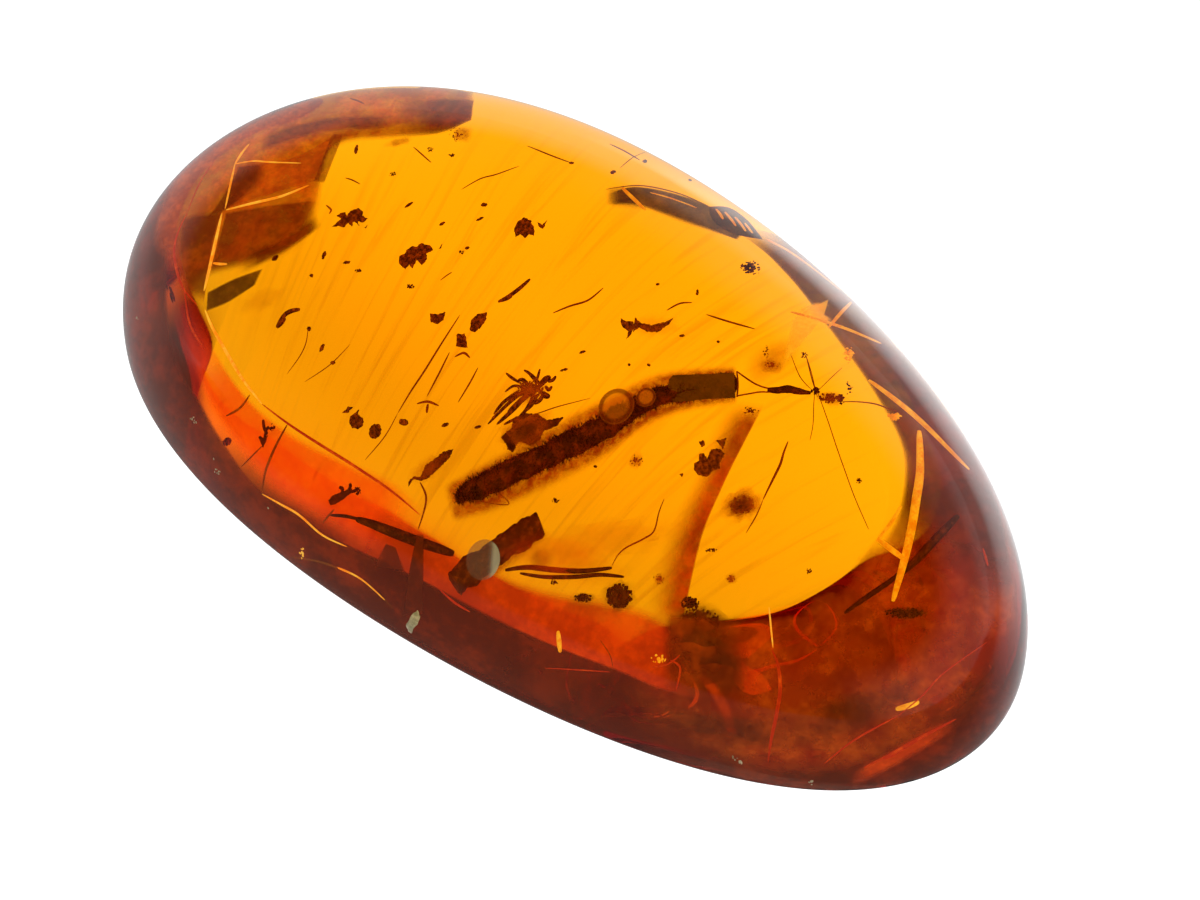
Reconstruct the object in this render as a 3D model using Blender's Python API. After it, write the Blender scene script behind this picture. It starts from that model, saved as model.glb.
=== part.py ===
"""A polished amber pebble with a slender insect and plant debris sealed inside it.

The stone lies on its flat polished base at z = 0, its long axis along X.
The amber is parted in two along the old resin flow surface, so that each
thing trapped on that surface is a piece of its own in a close pocket.
Run it with: blender --background --python part.py
"""

import math

import bmesh
import bpy
from mathutils import Matrix, Vector, noise

MM = 0.001

# ---- the stone, in millimetres ----
LENGTH = 48.0
WIDTH = 28.0
HEIGHT = 16.0
GIRDLE = 5.0  # height of the widest line
EGG = -0.105  # narrower at the +X end
LOZENGE = 0.05  # flattens the long sides
BEND = -0.48  # sweeps both ends towards -Y
DOME_PLAN = 2.3  # superellipse powers of the dome
DOME_RISE = 2.2
WALL_FOOT = 1.1  # superellipse powers of the wall under the girdle: crisp at the base,
WALL_BROW = 1.5  # round at the girdle
AROUND = 56
UP_AND_DOWN = 28
BASE_RINGS = 4  # rings of the sphere that become the flat base

# The flat base, as a share of the plan: its middle value and its swells (amount, bearing, power)
BASE_SHARE = 0.65
BASE_SWELLS = ((0.28, 135, 6), (-0.34, -19, 3.5))

# ---- the flow surface that parts the amber ----
FLOW_RISE = 3.4  # height of its middle above the girdle
FLOW_HALF = (24.0, 13.5)  # where it comes back to the girdle
RIPPLE = 0.55
RIPPLE_X = (4.1, 0.6)  # length and phase
RIPPLE_Y = (3.3, -0.4)
FLOW_GRID = (20, 13)
GAP = 0.3  # between the two halves, and round every sealed thing
SLACK = 0.05  # added to a pocket's gap, so that its facets keep the gap too

# ---- the way the flakes face: turned about Z, then tipped up towards -Y ----
FACE_TURN = 38.0
FACE_TIP = 28.0
FLAKE_THICK = 0.24
FLAKE_POINTS = 14
FLAKE_ROUGH = 3.1  # how quickly the ragged edge wanders

# ---- the insect: (x, y, lift over the flow surface, radius) ----
ABDOMEN = (
    (-0.7, -6.4, 0.0, 0.30),
    (-0.3, -5.7, 0.0, 0.54),
    (0.4, -4.8, 0.0, 0.60),
    (1.2, -3.7, 0.0, 0.63),
    (2.0, -2.4, 0.0, 0.64),
    (2.5, -1.5, 0.0, 0.66),
    (3.1, -0.2, 0.0, 0.58),
    (3.7, 1.0, 0.0, 0.55),
    (4.2, 1.7, 0.0, 0.53),
)
THORAX = ((4.1, 1.5, 0.0, 0.52), (4.9, 2.4, 0.0, 0.56), (5.4, 3.0, 0.0, 0.48))
PETIOLE = (
    (5.3, 2.9, 0.0, 0.45),
    (5.9, 3.3, 0.0, 0.27),
    (6.4, 3.6, 0.0, 0.14),
    (7.1, 4.2, 0.0, 0.11),
    (7.7, 4.6, 0.0, 0.16),
)
HEAD = ((7.6, 4.5, 0.0, 0.20), (8.1, 4.8, 0.0, 0.34), (8.6, 5.1, 0.0, 0.26), (8.8, 5.3, 0.0, 0.12))
FEELER = ((8.7, 5.2, 0.0, 0.12), (9.5, 5.8, 0.05, 0.09), (10.1, 6.1, 0.1, 0.06))
LEGS = {
    "leg_back_left": ((7.8, 4.7, 0.0, 0.10), (7.1, 5.2, 0.1, 0.09), (6.3, 5.8, 0.0, 0.07)),
    "leg_back_right": ((8.0, 4.8, 0.0, 0.10), (7.9, 5.5, 0.1, 0.09), (7.6, 6.2, 0.0, 0.07)),
    "leg_front_left": ((8.0, 4.7, 0.0, 0.10), (8.4, 3.9, 0.1, 0.09), (9.0, 3.0, 0.0, 0.07)),
    "leg_front_right": (
        (8.1, 4.7, 0.0, 0.10),
        (9.1, 4.0, 0.1, 0.09),
        (10.1, 3.4, 0.1, 0.08),
        (11.5, 2.5, 0.0, 0.07),
        (12.9, 1.7, 0.0, 0.06),
    ),
}
LIMB_SIDES = 1  # bevel resolution of legs and feelers
BODY_SIDES = 3

# ---- flat debris: x, y, width, height, turn in degrees, lobes, depth of the lobes ----
FLAKES = {
    "leaf_scale_a": (-12.0, 0.5, 1.50, 0.90, 0, 5, 0.24),
    "leaf_scale_b": (-8.8, 0.6, 1.45, 1.10, 20, 4, 0.26),
    "leaf_scale_c": (1.9, 7.5, 1.05, 0.75, 0, 5, 0.18),
    "leaf_scale_d": (6.8, -0.3, 1.40, 1.25, 30, 5, 0.28),
    "wing_scale": (1.1, 3.0, 1.95, 0.60, 4, 3, 0.22),
    "bell_scale": (-6.1, 3.9, 0.80, 0.85, -10, 3, 0.14),
    "square_scale": (-6.2, -1.1, 0.60, 0.50, -20, 4, 0.10),
    "bud_scale": (-4.7, -0.4, 0.75, 0.50, 35, 2, 0.12),
    "wedge_scale": (-4.7, -1.4, 0.50, 0.60, 10, 3, 0.12),
    "pear_seed": (-6.2, -6.2, 0.65, 0.85, 15, 2, 0.10),
    "round_seed": (-5.1, -6.0, 0.62, 0.68, 0, 2, 0.04),
    "curled_scale": (-2.4, -6.0, 1.50, 1.00, 38, 3, 0.24),
    "star_tuft": (-1.0, -1.6, 2.10, 1.30, 18, 7, 0.34),
    "bark_crumb": (0.1, -2.7, 1.60, 1.10, 10, 3, 0.16),
    "brown_blot": (8.9, -0.7, 1.60, 1.25, -10, 3, 0.12),
    "round_spot": (7.2, -6.0, 1.30, 1.15, 10, 2, 0.06),
    "dark_clot": (10.5, -5.1, 2.10, 1.50, -14, 5, 0.22),
    "small_clot": (16.1, 0.1, 1.50, 0.50, 8, 3, 0.16),
    "small_bug_a": (-9.3, -8.6, 1.30, 0.55, 100, 4, 0.30),
    "small_bug_b": (-4.9, -8.9, 1.30, 0.55, 30, 4, 0.30),
}

# ---- long debris: the two ends in x and y, the radii there, and the lift over the flow surface ----
RODS = {
    "twig_stub": ((2.8, -5.4), (1.2, -9.0), 0.46, 0.42, 0.0),
    "bark_sliver": ((3.0, -7.3), (6.5, -5.1), 0.16, 0.10, 0.0),
    "thin_blade": ((-3.8, -9.3), (0.4, -8.1), 0.18, 0.10, 0.0),
    "straw": ((11.8, 5.8), (15.2, 0.7), 0.15, 0.12, 0.34),
    "long_needle": ((8.7, 6.5), (13.8, 6.4), 0.11, 0.08, 0.6),
    "dark_bar": ((14.6, 4.5), (14.2, -1.1), 0.22, 0.16, -0.36),
    "curled_sliver": ((-11.4, -4.6), (-11.0, -3.6), 0.16, 0.12, 0.0),
    "slim_chip": ((-4.6, 0.6), (-4.4, 2.1), 0.15, 0.10, 0.0),
}

# ---- crack faces: flat panes that lie on the flow surface, by their corners in x and y ----
PANES = {
    "crack_pane_top": ((-15.2, 4.0), (-15.2, 5.1), (-13.2, 6.7), (-12.0, 6.9), (-11.5, 6.4), (-12.4, 4.7)),
    "crack_pane_upper": ((-17.3, 0.1), (-15.5, 1.5), (-14.9, 2.8), (-14.3, 1.4), (-14.6, 0.7), (-16.4, -1.0)),
    "crack_pane_broad": ((-16.2, -1.8), (-14.0, 0.2), (-13.1, -0.6), (-13.5, -1.7), (-15.0, -3.5)),
    "crack_pane_left": ((-17.8, -2.8), (-16.9, -2.2), (-15.6, -4.3), (-16.2, -4.5), (-17.2, -3.9)),
    "crack_pane_low": ((-14.7, -4.6), (-13.6, -3.2), (-13.4, -3.8), (-14.1, -4.9)),
    "crack_pane_right": ((-4.2, 6.9), (-3.8, 7.5), (-1.8, 8.4), (-0.4, 8.3), (-1.0, 7.8), (-3.1, 7.0)),
}
PANE_THICK = 0.24
PANE_STEP = 0.8  # length of one torn step along an edge
PANE_TEAR = 0.10  # how far an edge is torn back


# ---------------------------------------------------------------- shape rules


def plan_point(turn):
    """A point of the stone's widest outline, in millimetres."""
    x = LENGTH / 2 * math.cos(turn)
    y = WIDTH / 2 * math.sin(turn) * (1 + EGG * math.cos(turn) + LOZENGE * math.cos(2 * turn))
    return x, y + BEND * (1 + math.cos(2 * turn))


def base_share(turn):
    """How far out the flat base reaches in this direction, as a share of the outline."""
    share = BASE_SHARE
    for amount, bearing, power in BASE_SWELLS:
        share += amount * max(0.0, math.cos(turn - math.radians(bearing))) ** power
    return share


def stone_point(turn, fall):
    """The stone's surface for a sphere's angles: turn round Z, and fall from the top."""
    quarter = math.pi / 2
    base_fall = math.pi * (1 - BASE_RINGS / UP_AND_DOWN)
    share = base_share(turn)
    if fall <= quarter:
        reach = math.sin(fall) ** (2 / DOME_PLAN)
        z = GIRDLE + (HEIGHT - GIRDLE) * max(0.0, math.cos(fall)) ** (2 / DOME_RISE)
    elif fall <= base_fall + 1e-6:
        down = min(1.0, (fall - quarter) / (base_fall - quarter)) * quarter
        reach = share + (1 - share) * max(0.0, math.cos(down)) ** (2 / WALL_FOOT)
        z = GIRDLE * (1 - math.sin(down) ** (2 / WALL_BROW))
    else:
        reach = share * (math.pi - fall) / (math.pi - base_fall)
        z = 0.0
    x, y = plan_point(turn)
    return Vector((x * reach, y * reach, z)) * MM


def flow_height(x, y):
    """Height of the resin flow surface over the point x, y, all in millimetres."""
    crown = 1 - (x / FLOW_HALF[0]) ** 2 - (y / FLOW_HALF[1]) ** 2
    wave = math.sin(x / RIPPLE_X[0] + RIPPLE_X[1]) * math.cos(y / RIPPLE_Y[0] + RIPPLE_Y[1])
    return GIRDLE + FLOW_RISE * crown + RIPPLE * wave


def on_flow(x, y, lift=0.0):
    return Vector((x, y, flow_height(x, y) + lift)) * MM


# ---------------------------------------------------------------- helpers


def new_collection(name):
    collection = bpy.data.collections.new(name)
    bpy.context.scene.collection.children.link(collection)
    return collection


def new_material(name, color, roughness, transmission=0.0):
    material = bpy.data.materials.new(name)
    material.use_nodes = True
    shader = material.node_tree.nodes["Principled BSDF"]
    shader.inputs["Base Color"].default_value = (*color, 1)
    shader.inputs["Roughness"].default_value = roughness
    shader.inputs["Metallic"].default_value = 0.0
    shader.inputs["Transmission Weight"].default_value = transmission
    shader.inputs["IOR"].default_value = 1.54
    return material


def add_object(name, mesh, collection, color=None, roughness=0.7):
    obj = bpy.data.objects.new(name, mesh)
    collection.objects.link(obj)
    if color:
        mesh.materials.append(new_material(name, color, roughness))
    return obj


def as_cutter(obj):
    obj.hide_render = True
    obj.display_type = "WIRE"
    return obj


def mesh_from(bm, name):
    bmesh.ops.recalc_face_normals(bm, faces=bm.faces)
    mesh = bpy.data.meshes.new(name)
    bm.to_mesh(mesh)
    bm.free()
    mesh.shade_smooth()
    mesh.set_sharp_from_angle(angle=math.radians(40))
    return mesh


def boolean(obj, other, operation):
    modifier = obj.modifiers.new(f"{operation.lower()} {other.name}", "BOOLEAN")
    modifier.operation = operation
    modifier.solver = "EXACT"
    modifier.object = other


def tube_mesh(name, stations, sides, grow=0.0):
    """A closed tube through (x, y, lift, radius) stations that follow the flow surface."""
    curve = bpy.data.curves.new(name, "CURVE")
    curve.dimensions = "3D"
    curve.bevel_depth = MM
    curve.bevel_resolution = sides
    curve.use_fill_caps = True
    spline = curve.splines.new("POLY")
    spline.points.add(len(stations) - 1)
    for point, (x, y, lift, radius) in zip(spline.points, stations):
        point.co = (*on_flow(x, y, lift), 1)
        point.radius = radius + grow
    guide = bpy.data.objects.new(name, curve)
    bpy.context.scene.collection.objects.link(guide)
    evaluated = guide.evaluated_get(bpy.context.evaluated_depsgraph_get())
    mesh = bpy.data.meshes.new_from_object(evaluated)
    bpy.data.objects.remove(guide)
    bpy.data.curves.remove(curve)
    bm = bmesh.new()
    bm.from_mesh(mesh)
    bpy.data.meshes.remove(mesh)
    bmesh.ops.remove_doubles(bm, verts=bm.verts, dist=1e-6)
    return mesh_from(bm, name)


def lengthened(stations, extra):
    """The same stations with both ends pushed out, for a pocket with room at its ends."""
    first, second = Vector(stations[0]), Vector(stations[1])
    last, before = Vector(stations[-1]), Vector(stations[-2])
    head = first + (first - second).normalized() * extra
    tail = last + (last - before).normalized() * extra
    return (tuple(head[:3]) + (first[3],), *stations[1:-1], tuple(tail[:3]) + (last[3],))


# ---------------------------------------------------------------- the amber


def pebble_mesh(name):
    bm = bmesh.new()
    bmesh.ops.create_uvsphere(bm, u_segments=AROUND, v_segments=UP_AND_DOWN, radius=1)
    for vert in bm.verts:
        turn = math.atan2(vert.co.y, vert.co.x)
        fall = math.acos(max(-1.0, min(1.0, vert.co.z)))
        vert.co = stone_point(turn, fall)
    return mesh_from(bm, name)


def flow_block(name, collection, side):
    """Everything over the flow surface (side 1) or under it (side -1), half the gap away."""
    bm = bmesh.new()
    bmesh.ops.create_grid(bm, x_segments=FLOW_GRID[0], y_segments=FLOW_GRID[1], size=1)
    half_x, half_y = LENGTH * 0.54, WIDTH * 0.56
    for vert in bm.verts:
        x, y = vert.co.x * half_x, vert.co.y * half_y
        vert.co = Vector((x, y, flow_height(x, y) + side * GAP / 2)) * MM
    far = bmesh.ops.extrude_face_region(bm, geom=list(bm.faces))["geom"]
    for vert in (item for item in far if isinstance(item, bmesh.types.BMVert)):
        vert.co.z = (HEIGHT + 4 if side > 0 else -4) * MM
    return as_cutter(add_object(name, mesh_from(bm, name), collection))


def build_amber(parts, cutters, pockets):
    color = (0.95, 0.42, 0.02)
    for name, side in (("amber_upper", 1), ("amber_lower", -1)):
        half = add_object(name, pebble_mesh(name), parts)
        half.data.materials.append(new_material(name, color, 0.05, transmission=1.0))
        boolean(half, flow_block(f"{name}_mould", cutters, side), "INTERSECT")
        for pocket in pockets:
            boolean(half, pocket, "DIFFERENCE")


# ---------------------------------------------------------------- the insect


def build_insect(parts, cutters):
    """One fused body, and the tubes of its pocket."""
    insect = add_object("insect", tube_mesh("insect", ABDOMEN, BODY_SIDES), parts, (0.05, 0.02, 0.008), 0.8)
    pockets = []
    room = GAP + SLACK
    segments = {"thorax": THORAX, "petiole": PETIOLE, "head": HEAD, "feeler": FEELER, **LEGS}
    for name, stations in segments.items():
        sides = BODY_SIDES if name in ("thorax", "petiole", "head") else LIMB_SIDES
        piece = as_cutter(add_object(f"insect_{name}", tube_mesh(name, stations, sides), cutters))
        boolean(insect, piece, "UNION")
    body = ABDOMEN + THORAX[1:] + PETIOLE[1:] + HEAD[1:] + FEELER[1:]
    for name, stations in {"body": body, **LEGS}.items():
        longer = lengthened(stations, room)
        pocket = add_object(f"pocket_{name}", tube_mesh(name, longer, 2, grow=room), cutters)
        pockets.append(as_cutter(pocket))
    return pockets


# ---------------------------------------------------------------- the debris


def facing(x, y, turn):
    """Places a flake on the flow surface, facing up and towards -Y, turned in its own plane."""
    return (
        Matrix.Translation(on_flow(x, y))
        @ Matrix.Rotation(math.radians(FACE_TURN), 4, "Z")
        @ Matrix.Rotation(math.radians(FACE_TIP), 4, "X")
        @ Matrix.Rotation(math.radians(turn), 4, "Z")
    )


def flake_mesh(name, width, height, lobes, depth):
    """A lobed, ragged flat outline with a little thickness, in its own frame."""
    bm = bmesh.new()
    ring = []
    seed = len(name) * 1.7 + lobes
    for step in range(FLAKE_POINTS):
        turn = step / FLAKE_POINTS * 2 * math.pi
        rough = noise.noise(Vector((math.cos(turn) * FLAKE_ROUGH, math.sin(turn) * FLAKE_ROUGH, seed)))
        lobe = 0.5 + 0.5 * math.cos(lobes * turn + seed)
        reach = min(1.0, 1 - depth * (lobe + 0.6 * rough))
        x = width / 2 * reach * math.cos(turn)
        y = height / 2 * reach * math.sin(turn)
        ring.append(bm.verts.new(Vector((x, y, -FLAKE_THICK / 2)) * MM))
    face = bm.faces.new(ring)
    raised = bmesh.ops.extrude_face_region(bm, geom=[face])["geom"]
    for vert in (item for item in raised if isinstance(item, bmesh.types.BMVert)):
        vert.co.z += FLAKE_THICK * MM
    bmesh.ops.triangulate(bm, faces=[f for f in bm.faces if len(f.verts) > 4])
    return mesh_from(bm, name)


def pocket_disc(name, width, height):
    """An oval pocket with clearance all round a flake."""
    bm = bmesh.new()
    bmesh.ops.create_cone(bm, cap_ends=True, segments=9, radius1=1, radius2=1, depth=1)
    across, along = width / 2 + GAP * 1.4, height / 2 + GAP * 1.4
    for vert in bm.verts:
        vert.co.x *= across * MM
        vert.co.y *= along * MM
        vert.co.z *= (FLAKE_THICK + 2 * GAP + SLACK) * MM
    return mesh_from(bm, name)


def build_flakes(parts, cutters):
    pockets = []
    for name, (x, y, width, height, turn, lobes, depth) in FLAKES.items():
        place = facing(x, y, turn)
        flake = add_object(name, flake_mesh(name, width, height, lobes, depth), parts, (0.06, 0.025, 0.01))
        flake.matrix_world = place
        pocket = add_object(f"pocket_{name}", pocket_disc(name, width, height), cutters)
        pocket.matrix_world = place
        pockets.append(as_cutter(pocket))
    return pockets


def grown(corners, room):
    """The corners of a convex outline, listed clockwise, with each edge moved out by room."""
    ring = [Vector(corner) for corner in corners]
    moved = []
    for before, corner, after in zip(ring[-1:] + ring[:-1], ring, ring[1:] + ring[:1]):
        out_before = (corner - before).orthogonal().normalized()
        out_after = (after - corner).orthogonal().normalized()
        moved.append(corner + (out_before + out_after) * room / (1 + out_before.dot(out_after)))
    return moved


def torn_edges(corners):
    """The same outline with its straight edges torn back in small steps."""
    ring = [Vector(corner) for corner in corners]
    middle = sum(ring, Vector((0, 0))) / len(ring)
    torn = []
    for start, end in zip(ring, ring[1:] + ring[:1]):
        steps = max(1, round((end - start).length / PANE_STEP))
        for step in range(steps):
            point = start.lerp(end, step / steps)
            back = PANE_TEAR * abs(noise.noise(Vector((point.x, point.y, 0)) / PANE_STEP))
            torn.append(point + (middle - point).normalized() * back)
    return torn


def slab_mesh(name, outline, middle, thick):
    """A flat slab of this outline, round its middle."""
    bm = bmesh.new()
    ring = []
    for point in outline:
        ring.append(bm.verts.new(Vector((point.x - middle.x, point.y - middle.y, -thick / 2)) * MM))
    face = bm.faces.new(ring)
    raised = bmesh.ops.extrude_face_region(bm, geom=[face])["geom"]
    for vert in (item for item in raised if isinstance(item, bmesh.types.BMVert)):
        vert.co.z += thick * MM
    bmesh.ops.triangulate(bm, faces=[f for f in bm.faces if len(f.verts) > 4])
    return mesh_from(bm, name)


def lying_at(x, y):
    """Places a slab on the flow surface, in its tangent plane."""
    reach = 1.0
    east = on_flow(x + reach, y) - on_flow(x - reach, y)
    north = on_flow(x, y + reach) - on_flow(x, y - reach)
    turn = Vector((0, 0, 1)).rotation_difference(east.cross(north))
    return Matrix.Translation(on_flow(x, y)) @ turn.to_matrix().to_4x4()


def build_panes(parts, cutters):
    pockets = []
    for name, corners in PANES.items():
        middle = sum((Vector(corner) for corner in corners), Vector((0, 0))) / len(corners)
        place = lying_at(*middle)
        slab = slab_mesh(name, torn_edges(corners), middle, PANE_THICK)
        pane = add_object(name, slab, parts, (0.12, 0.03, 0.01))
        pane.matrix_world = place
        room = slab_mesh(name, grown(corners, GAP), middle, PANE_THICK + 2 * GAP + SLACK)
        pocket = add_object(f"pocket_{name}", room, cutters)
        pocket.matrix_world = place
        pockets.append(as_cutter(pocket))
    return pockets


def rod_stations(start, end, thick, thin, lift, steps=4):
    stations = []
    for step in range(steps + 1):
        share = step / steps
        x = start[0] + (end[0] - start[0]) * share
        y = start[1] + (end[1] - start[1]) * share
        stations.append((x, y, lift, thick + (thin - thick) * share))
    return tuple(stations)


def build_rods(parts, cutters):
    pockets = []
    room = GAP + SLACK
    for name, rod in RODS.items():
        stations = rod_stations(*rod)
        add_object(name, tube_mesh(name, stations, LIMB_SIDES), parts, (0.12, 0.05, 0.015))
        longer = lengthened(stations, room)
        pocket = add_object(f"pocket_{name}", tube_mesh(name, longer, LIMB_SIDES, grow=room), cutters)
        pockets.append(as_cutter(pocket))
    return pockets


def main():
    for obj in list(bpy.data.objects):
        bpy.data.objects.remove(obj, do_unlink=True)
    parts = new_collection("insect_in_amber")
    cutters = new_collection("cutters")
    pockets = build_insect(parts, cutters)
    pockets += build_flakes(parts, cutters)
    pockets += build_rods(parts, cutters)
    pockets += build_panes(parts, cutters)
    build_amber(parts, cutters, pockets)


main()
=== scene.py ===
"""A polished amber pebble on a pale floor, with all that the old resin caught inside it.

The stone is one clear solid. The insect, the leaf scales, the needles, the
cracks and the bubbles are meshes of their own inside it, each placed along the
line of sight that bends where it enters the stone.
"""

import math
import random

import bmesh
import bpy
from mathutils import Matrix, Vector, interpolate, noise
from mathutils.bvhtree import BVHTree


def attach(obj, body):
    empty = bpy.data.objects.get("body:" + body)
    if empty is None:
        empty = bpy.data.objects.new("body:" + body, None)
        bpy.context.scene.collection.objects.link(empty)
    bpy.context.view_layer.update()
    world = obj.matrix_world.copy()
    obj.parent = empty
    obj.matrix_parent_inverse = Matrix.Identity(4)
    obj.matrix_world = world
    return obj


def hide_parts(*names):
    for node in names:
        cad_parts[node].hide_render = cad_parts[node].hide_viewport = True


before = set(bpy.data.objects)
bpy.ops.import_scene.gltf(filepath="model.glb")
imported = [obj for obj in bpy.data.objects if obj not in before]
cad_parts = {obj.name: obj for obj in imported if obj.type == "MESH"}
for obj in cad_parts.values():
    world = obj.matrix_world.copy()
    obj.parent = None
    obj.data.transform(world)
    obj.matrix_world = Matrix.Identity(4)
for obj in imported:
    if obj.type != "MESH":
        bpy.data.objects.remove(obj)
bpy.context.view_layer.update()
MM = 0.001

# ---- the stone, in millimetres: the same driving sizes as its solids ----
LENGTH, WIDTH, HEIGHT = 48.0, 28.0, 16.0
GIRDLE = 5.0  # height of the widest line
EGG, LOZENGE, BEND = -0.105, 0.05, -0.48
DOME_PLAN, DOME_RISE = 2.3, 2.2
WALL_FOOT, WALL_BROW = 1.1, 1.5
BASE_SHARE = 0.65
BASE_SWELLS = ((0.28, 135, 6), (-0.34, -19, 3.5))  # amount, bearing, power
AROUND, UP_AND_DOWN, BASE_RINGS = 224, 112, 16

# ---- the old flow surface on which most things lie ----
FLOW_RISE = 3.4
FLOW_HALF = (24.0, 13.5)
RIPPLE, RIPPLE_X, RIPPLE_Y = 0.55, (4.1, 0.6), (3.3, -0.4)

# ---- the camera ----
FRAME_PX = (1200, 900)
STONE_CENTRE_PX = (575, 440)
AZIMUTH, ELEVATION = math.radians(38.4), math.radians(55.0)
TARGET = Vector((2.29, -1.50, 8.0))
DISTANCE, LENS, SENSOR = 181.2, 120.0, 36.0
BACK = Vector((
    math.sin(AZIMUTH) * math.cos(ELEVATION),
    -math.cos(AZIMUTH) * math.cos(ELEVATION),
    math.sin(ELEVATION),
))
EYE = TARGET + BACK * DISTANCE
GAZE = BACK.to_track_quat("Z", "Y")

# ---- clear amber: bends light by its index, and takes blue out first ----
AMBER_IOR = 1.54
AMBER_DENSITY = 450.0  # per metre
AMBER_LOSS = (10.0, 78.0, 440.0)  # light lost per metre in red, green and blue


# ---------------------------------------------------------------- shape of the stone


def plan_point(turn):
    x = LENGTH / 2 * math.cos(turn)
    y = WIDTH / 2 * math.sin(turn) * (1 + EGG * math.cos(turn) + LOZENGE * math.cos(2 * turn))
    return x, y + BEND * (1 + math.cos(2 * turn))


def base_share(turn):
    share = BASE_SHARE
    for amount, bearing, power in BASE_SWELLS:
        share += amount * max(0.0, math.cos(turn - math.radians(bearing))) ** power
    return share


def stone_point(turn, fall):
    """The stone's surface for a sphere's angles: turn round Z, and fall from the top."""
    quarter = math.pi / 2
    base_fall = math.pi * (1 - BASE_RINGS / UP_AND_DOWN)
    share = base_share(turn)
    if fall <= quarter:
        reach = math.sin(fall) ** (2 / DOME_PLAN)
        z = GIRDLE + (HEIGHT - GIRDLE) * max(0.0, math.cos(fall)) ** (2 / DOME_RISE)
    elif fall <= base_fall + 1e-6:
        down = min(1.0, (fall - quarter) / (base_fall - quarter)) * quarter
        reach = share + (1 - share) * max(0.0, math.cos(down)) ** (2 / WALL_FOOT)
        z = GIRDLE * (1 - math.sin(down) ** (2 / WALL_BROW))
    else:
        reach = share * (math.pi - fall) / (math.pi - base_fall)
        z = 0.0
    x, y = plan_point(turn)
    return Vector((x * reach, y * reach, z))


def flow_height(x, y):
    crown = 1 - (x / FLOW_HALF[0]) ** 2 - (y / FLOW_HALF[1]) ** 2
    wave = math.sin(x / RIPPLE_X[0] + RIPPLE_X[1]) * math.cos(y / RIPPLE_Y[0] + RIPPLE_Y[1])
    return GIRDLE + FLOW_RISE * crown + RIPPLE * wave


def stone_mesh():
    bm = bmesh.new()
    bmesh.ops.create_uvsphere(bm, u_segments=AROUND, v_segments=UP_AND_DOWN, radius=1)
    for vert in bm.verts:
        turn = math.atan2(vert.co.y, vert.co.x)
        fall = math.acos(max(-1.0, min(1.0, vert.co.z)))
        vert.co = stone_point(turn, fall)
    bm.normal_update()
    return bm


# ---------------------------------------------------------------- lines of sight

DRAWN_IN, DRAWN_TIMES = 0.005, 60  # how far a pixel past the edge is moved inwards, and how often
LONGEST_SIGHT, LEAST_SIGHT = 30.0, 0.5
HALVINGS = 30
SPOT_REACH = 5  # pixels on each side of a spot that give its steps


def bent(direction, normal):
    """The direction of a ray after it enters the amber."""
    ratio = 1 / AMBER_IOR
    cosine = -direction.dot(normal)
    inward = ratio * cosine - math.sqrt(1 - ratio**2 * (1 - cosine**2))
    return (ratio * direction + inward * normal).normalized()


def skin_normal(index, spot):
    """Which way the smooth surface faces at a spot on one of its faces."""
    shares = interpolate.poly_3d_calc([corner for corner, _ in SKIN[index]], spot)
    total = Vector()
    for share, (_, lean) in zip(shares, SKIN[index]):
        total += lean * share
    return total.normalized()


def sight(pixel):
    """Where the line of sight of a pixel enters the stone, and how it goes on inside.

    A pixel just past the stone's edge is drawn in until it meets the stone.
    """
    x, y = pixel
    for _ in range(DRAWN_TIMES):
        across = (x - FRAME_PX[0] / 2) / FRAME_PX[0] * SENSOR / LENS
        up = (FRAME_PX[1] / 2 - y) / FRAME_PX[0] * SENSOR / LENS
        direction = (GAZE @ Vector((across, up, -1))).normalized()
        entry, _, index, _ = SURFACE.ray_cast(EYE, direction)
        if entry is not None:
            return entry, bent(direction, skin_normal(index, entry))
        x += (STONE_CENTRE_PX[0] - x) * DRAWN_IN
        y += (STONE_CENTRE_PX[1] - y) * DRAWN_IN
    raise ValueError(f"pixel {pixel} is far outside the stone")


def place(pixel, lift=0.0, depth=None):
    """The point seen at a pixel: on the flow surface plus a lift, or at a depth under the surface."""
    entry, ray = sight(pixel)
    if depth is not None:
        return entry + ray * depth
    near, far = 0.0, LONGEST_SIGHT
    for _ in range(HALVINGS):
        middle = (near + far) / 2
        point = entry + ray * middle
        if point.z > flow_height(point.x, point.y) + lift:
            near = middle
        else:
            far = middle
    return entry + ray * max(LEAST_SIGHT, near)


class Spot:
    """A pixel's place inside the stone, with the steps that one pixel across and down make there."""

    def __init__(self, pixel, lift=0.0, depth=None):
        self.centre = place(pixel, lift, depth)
        self.ray = sight(pixel)[1]
        self.across = self._step(pixel, (SPOT_REACH, 0), lift, depth)
        self.down = self._step(pixel, (0, SPOT_REACH), lift, depth)

    def _step(self, pixel, offset, lift, depth):
        ahead = place((pixel[0] + offset[0], pixel[1] + offset[1]), lift, depth)
        behind = place((pixel[0] - offset[0], pixel[1] - offset[1]), lift, depth)
        step = (ahead - behind) / (2 * (offset[0] + offset[1]))
        return step - self.ray * step.dot(self.ray)

    def at(self, across, down, deeper=0.0):
        return self.centre + self.across * across + self.down * down + self.ray * deeper


# ---------------------------------------------------------------- mesh makers, in millimetres

BARK_LUMPS, GRAIN_SHARE = (0.5, 0.17), 0.6  # sizes of the lumps and grain on a rough tube
TEAR_STEP, TEAR_WAVE = 1.5, 0.55  # a torn edge, in pixels: length of its pieces, and waves per pixel
TEAR_SHIFT = Vector((9, 9, 9))
CRUMB_ROUGH, CRUMB_LUMP = 0.45, 1.3
CLOT_DEPTH = 0.25


def rippled(point, size, seed):
    """Smooth noise between -1 and 1."""
    return noise.noise(point / size + Vector((seed * 3.7, seed * 1.3, seed * 7.1)))


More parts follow.
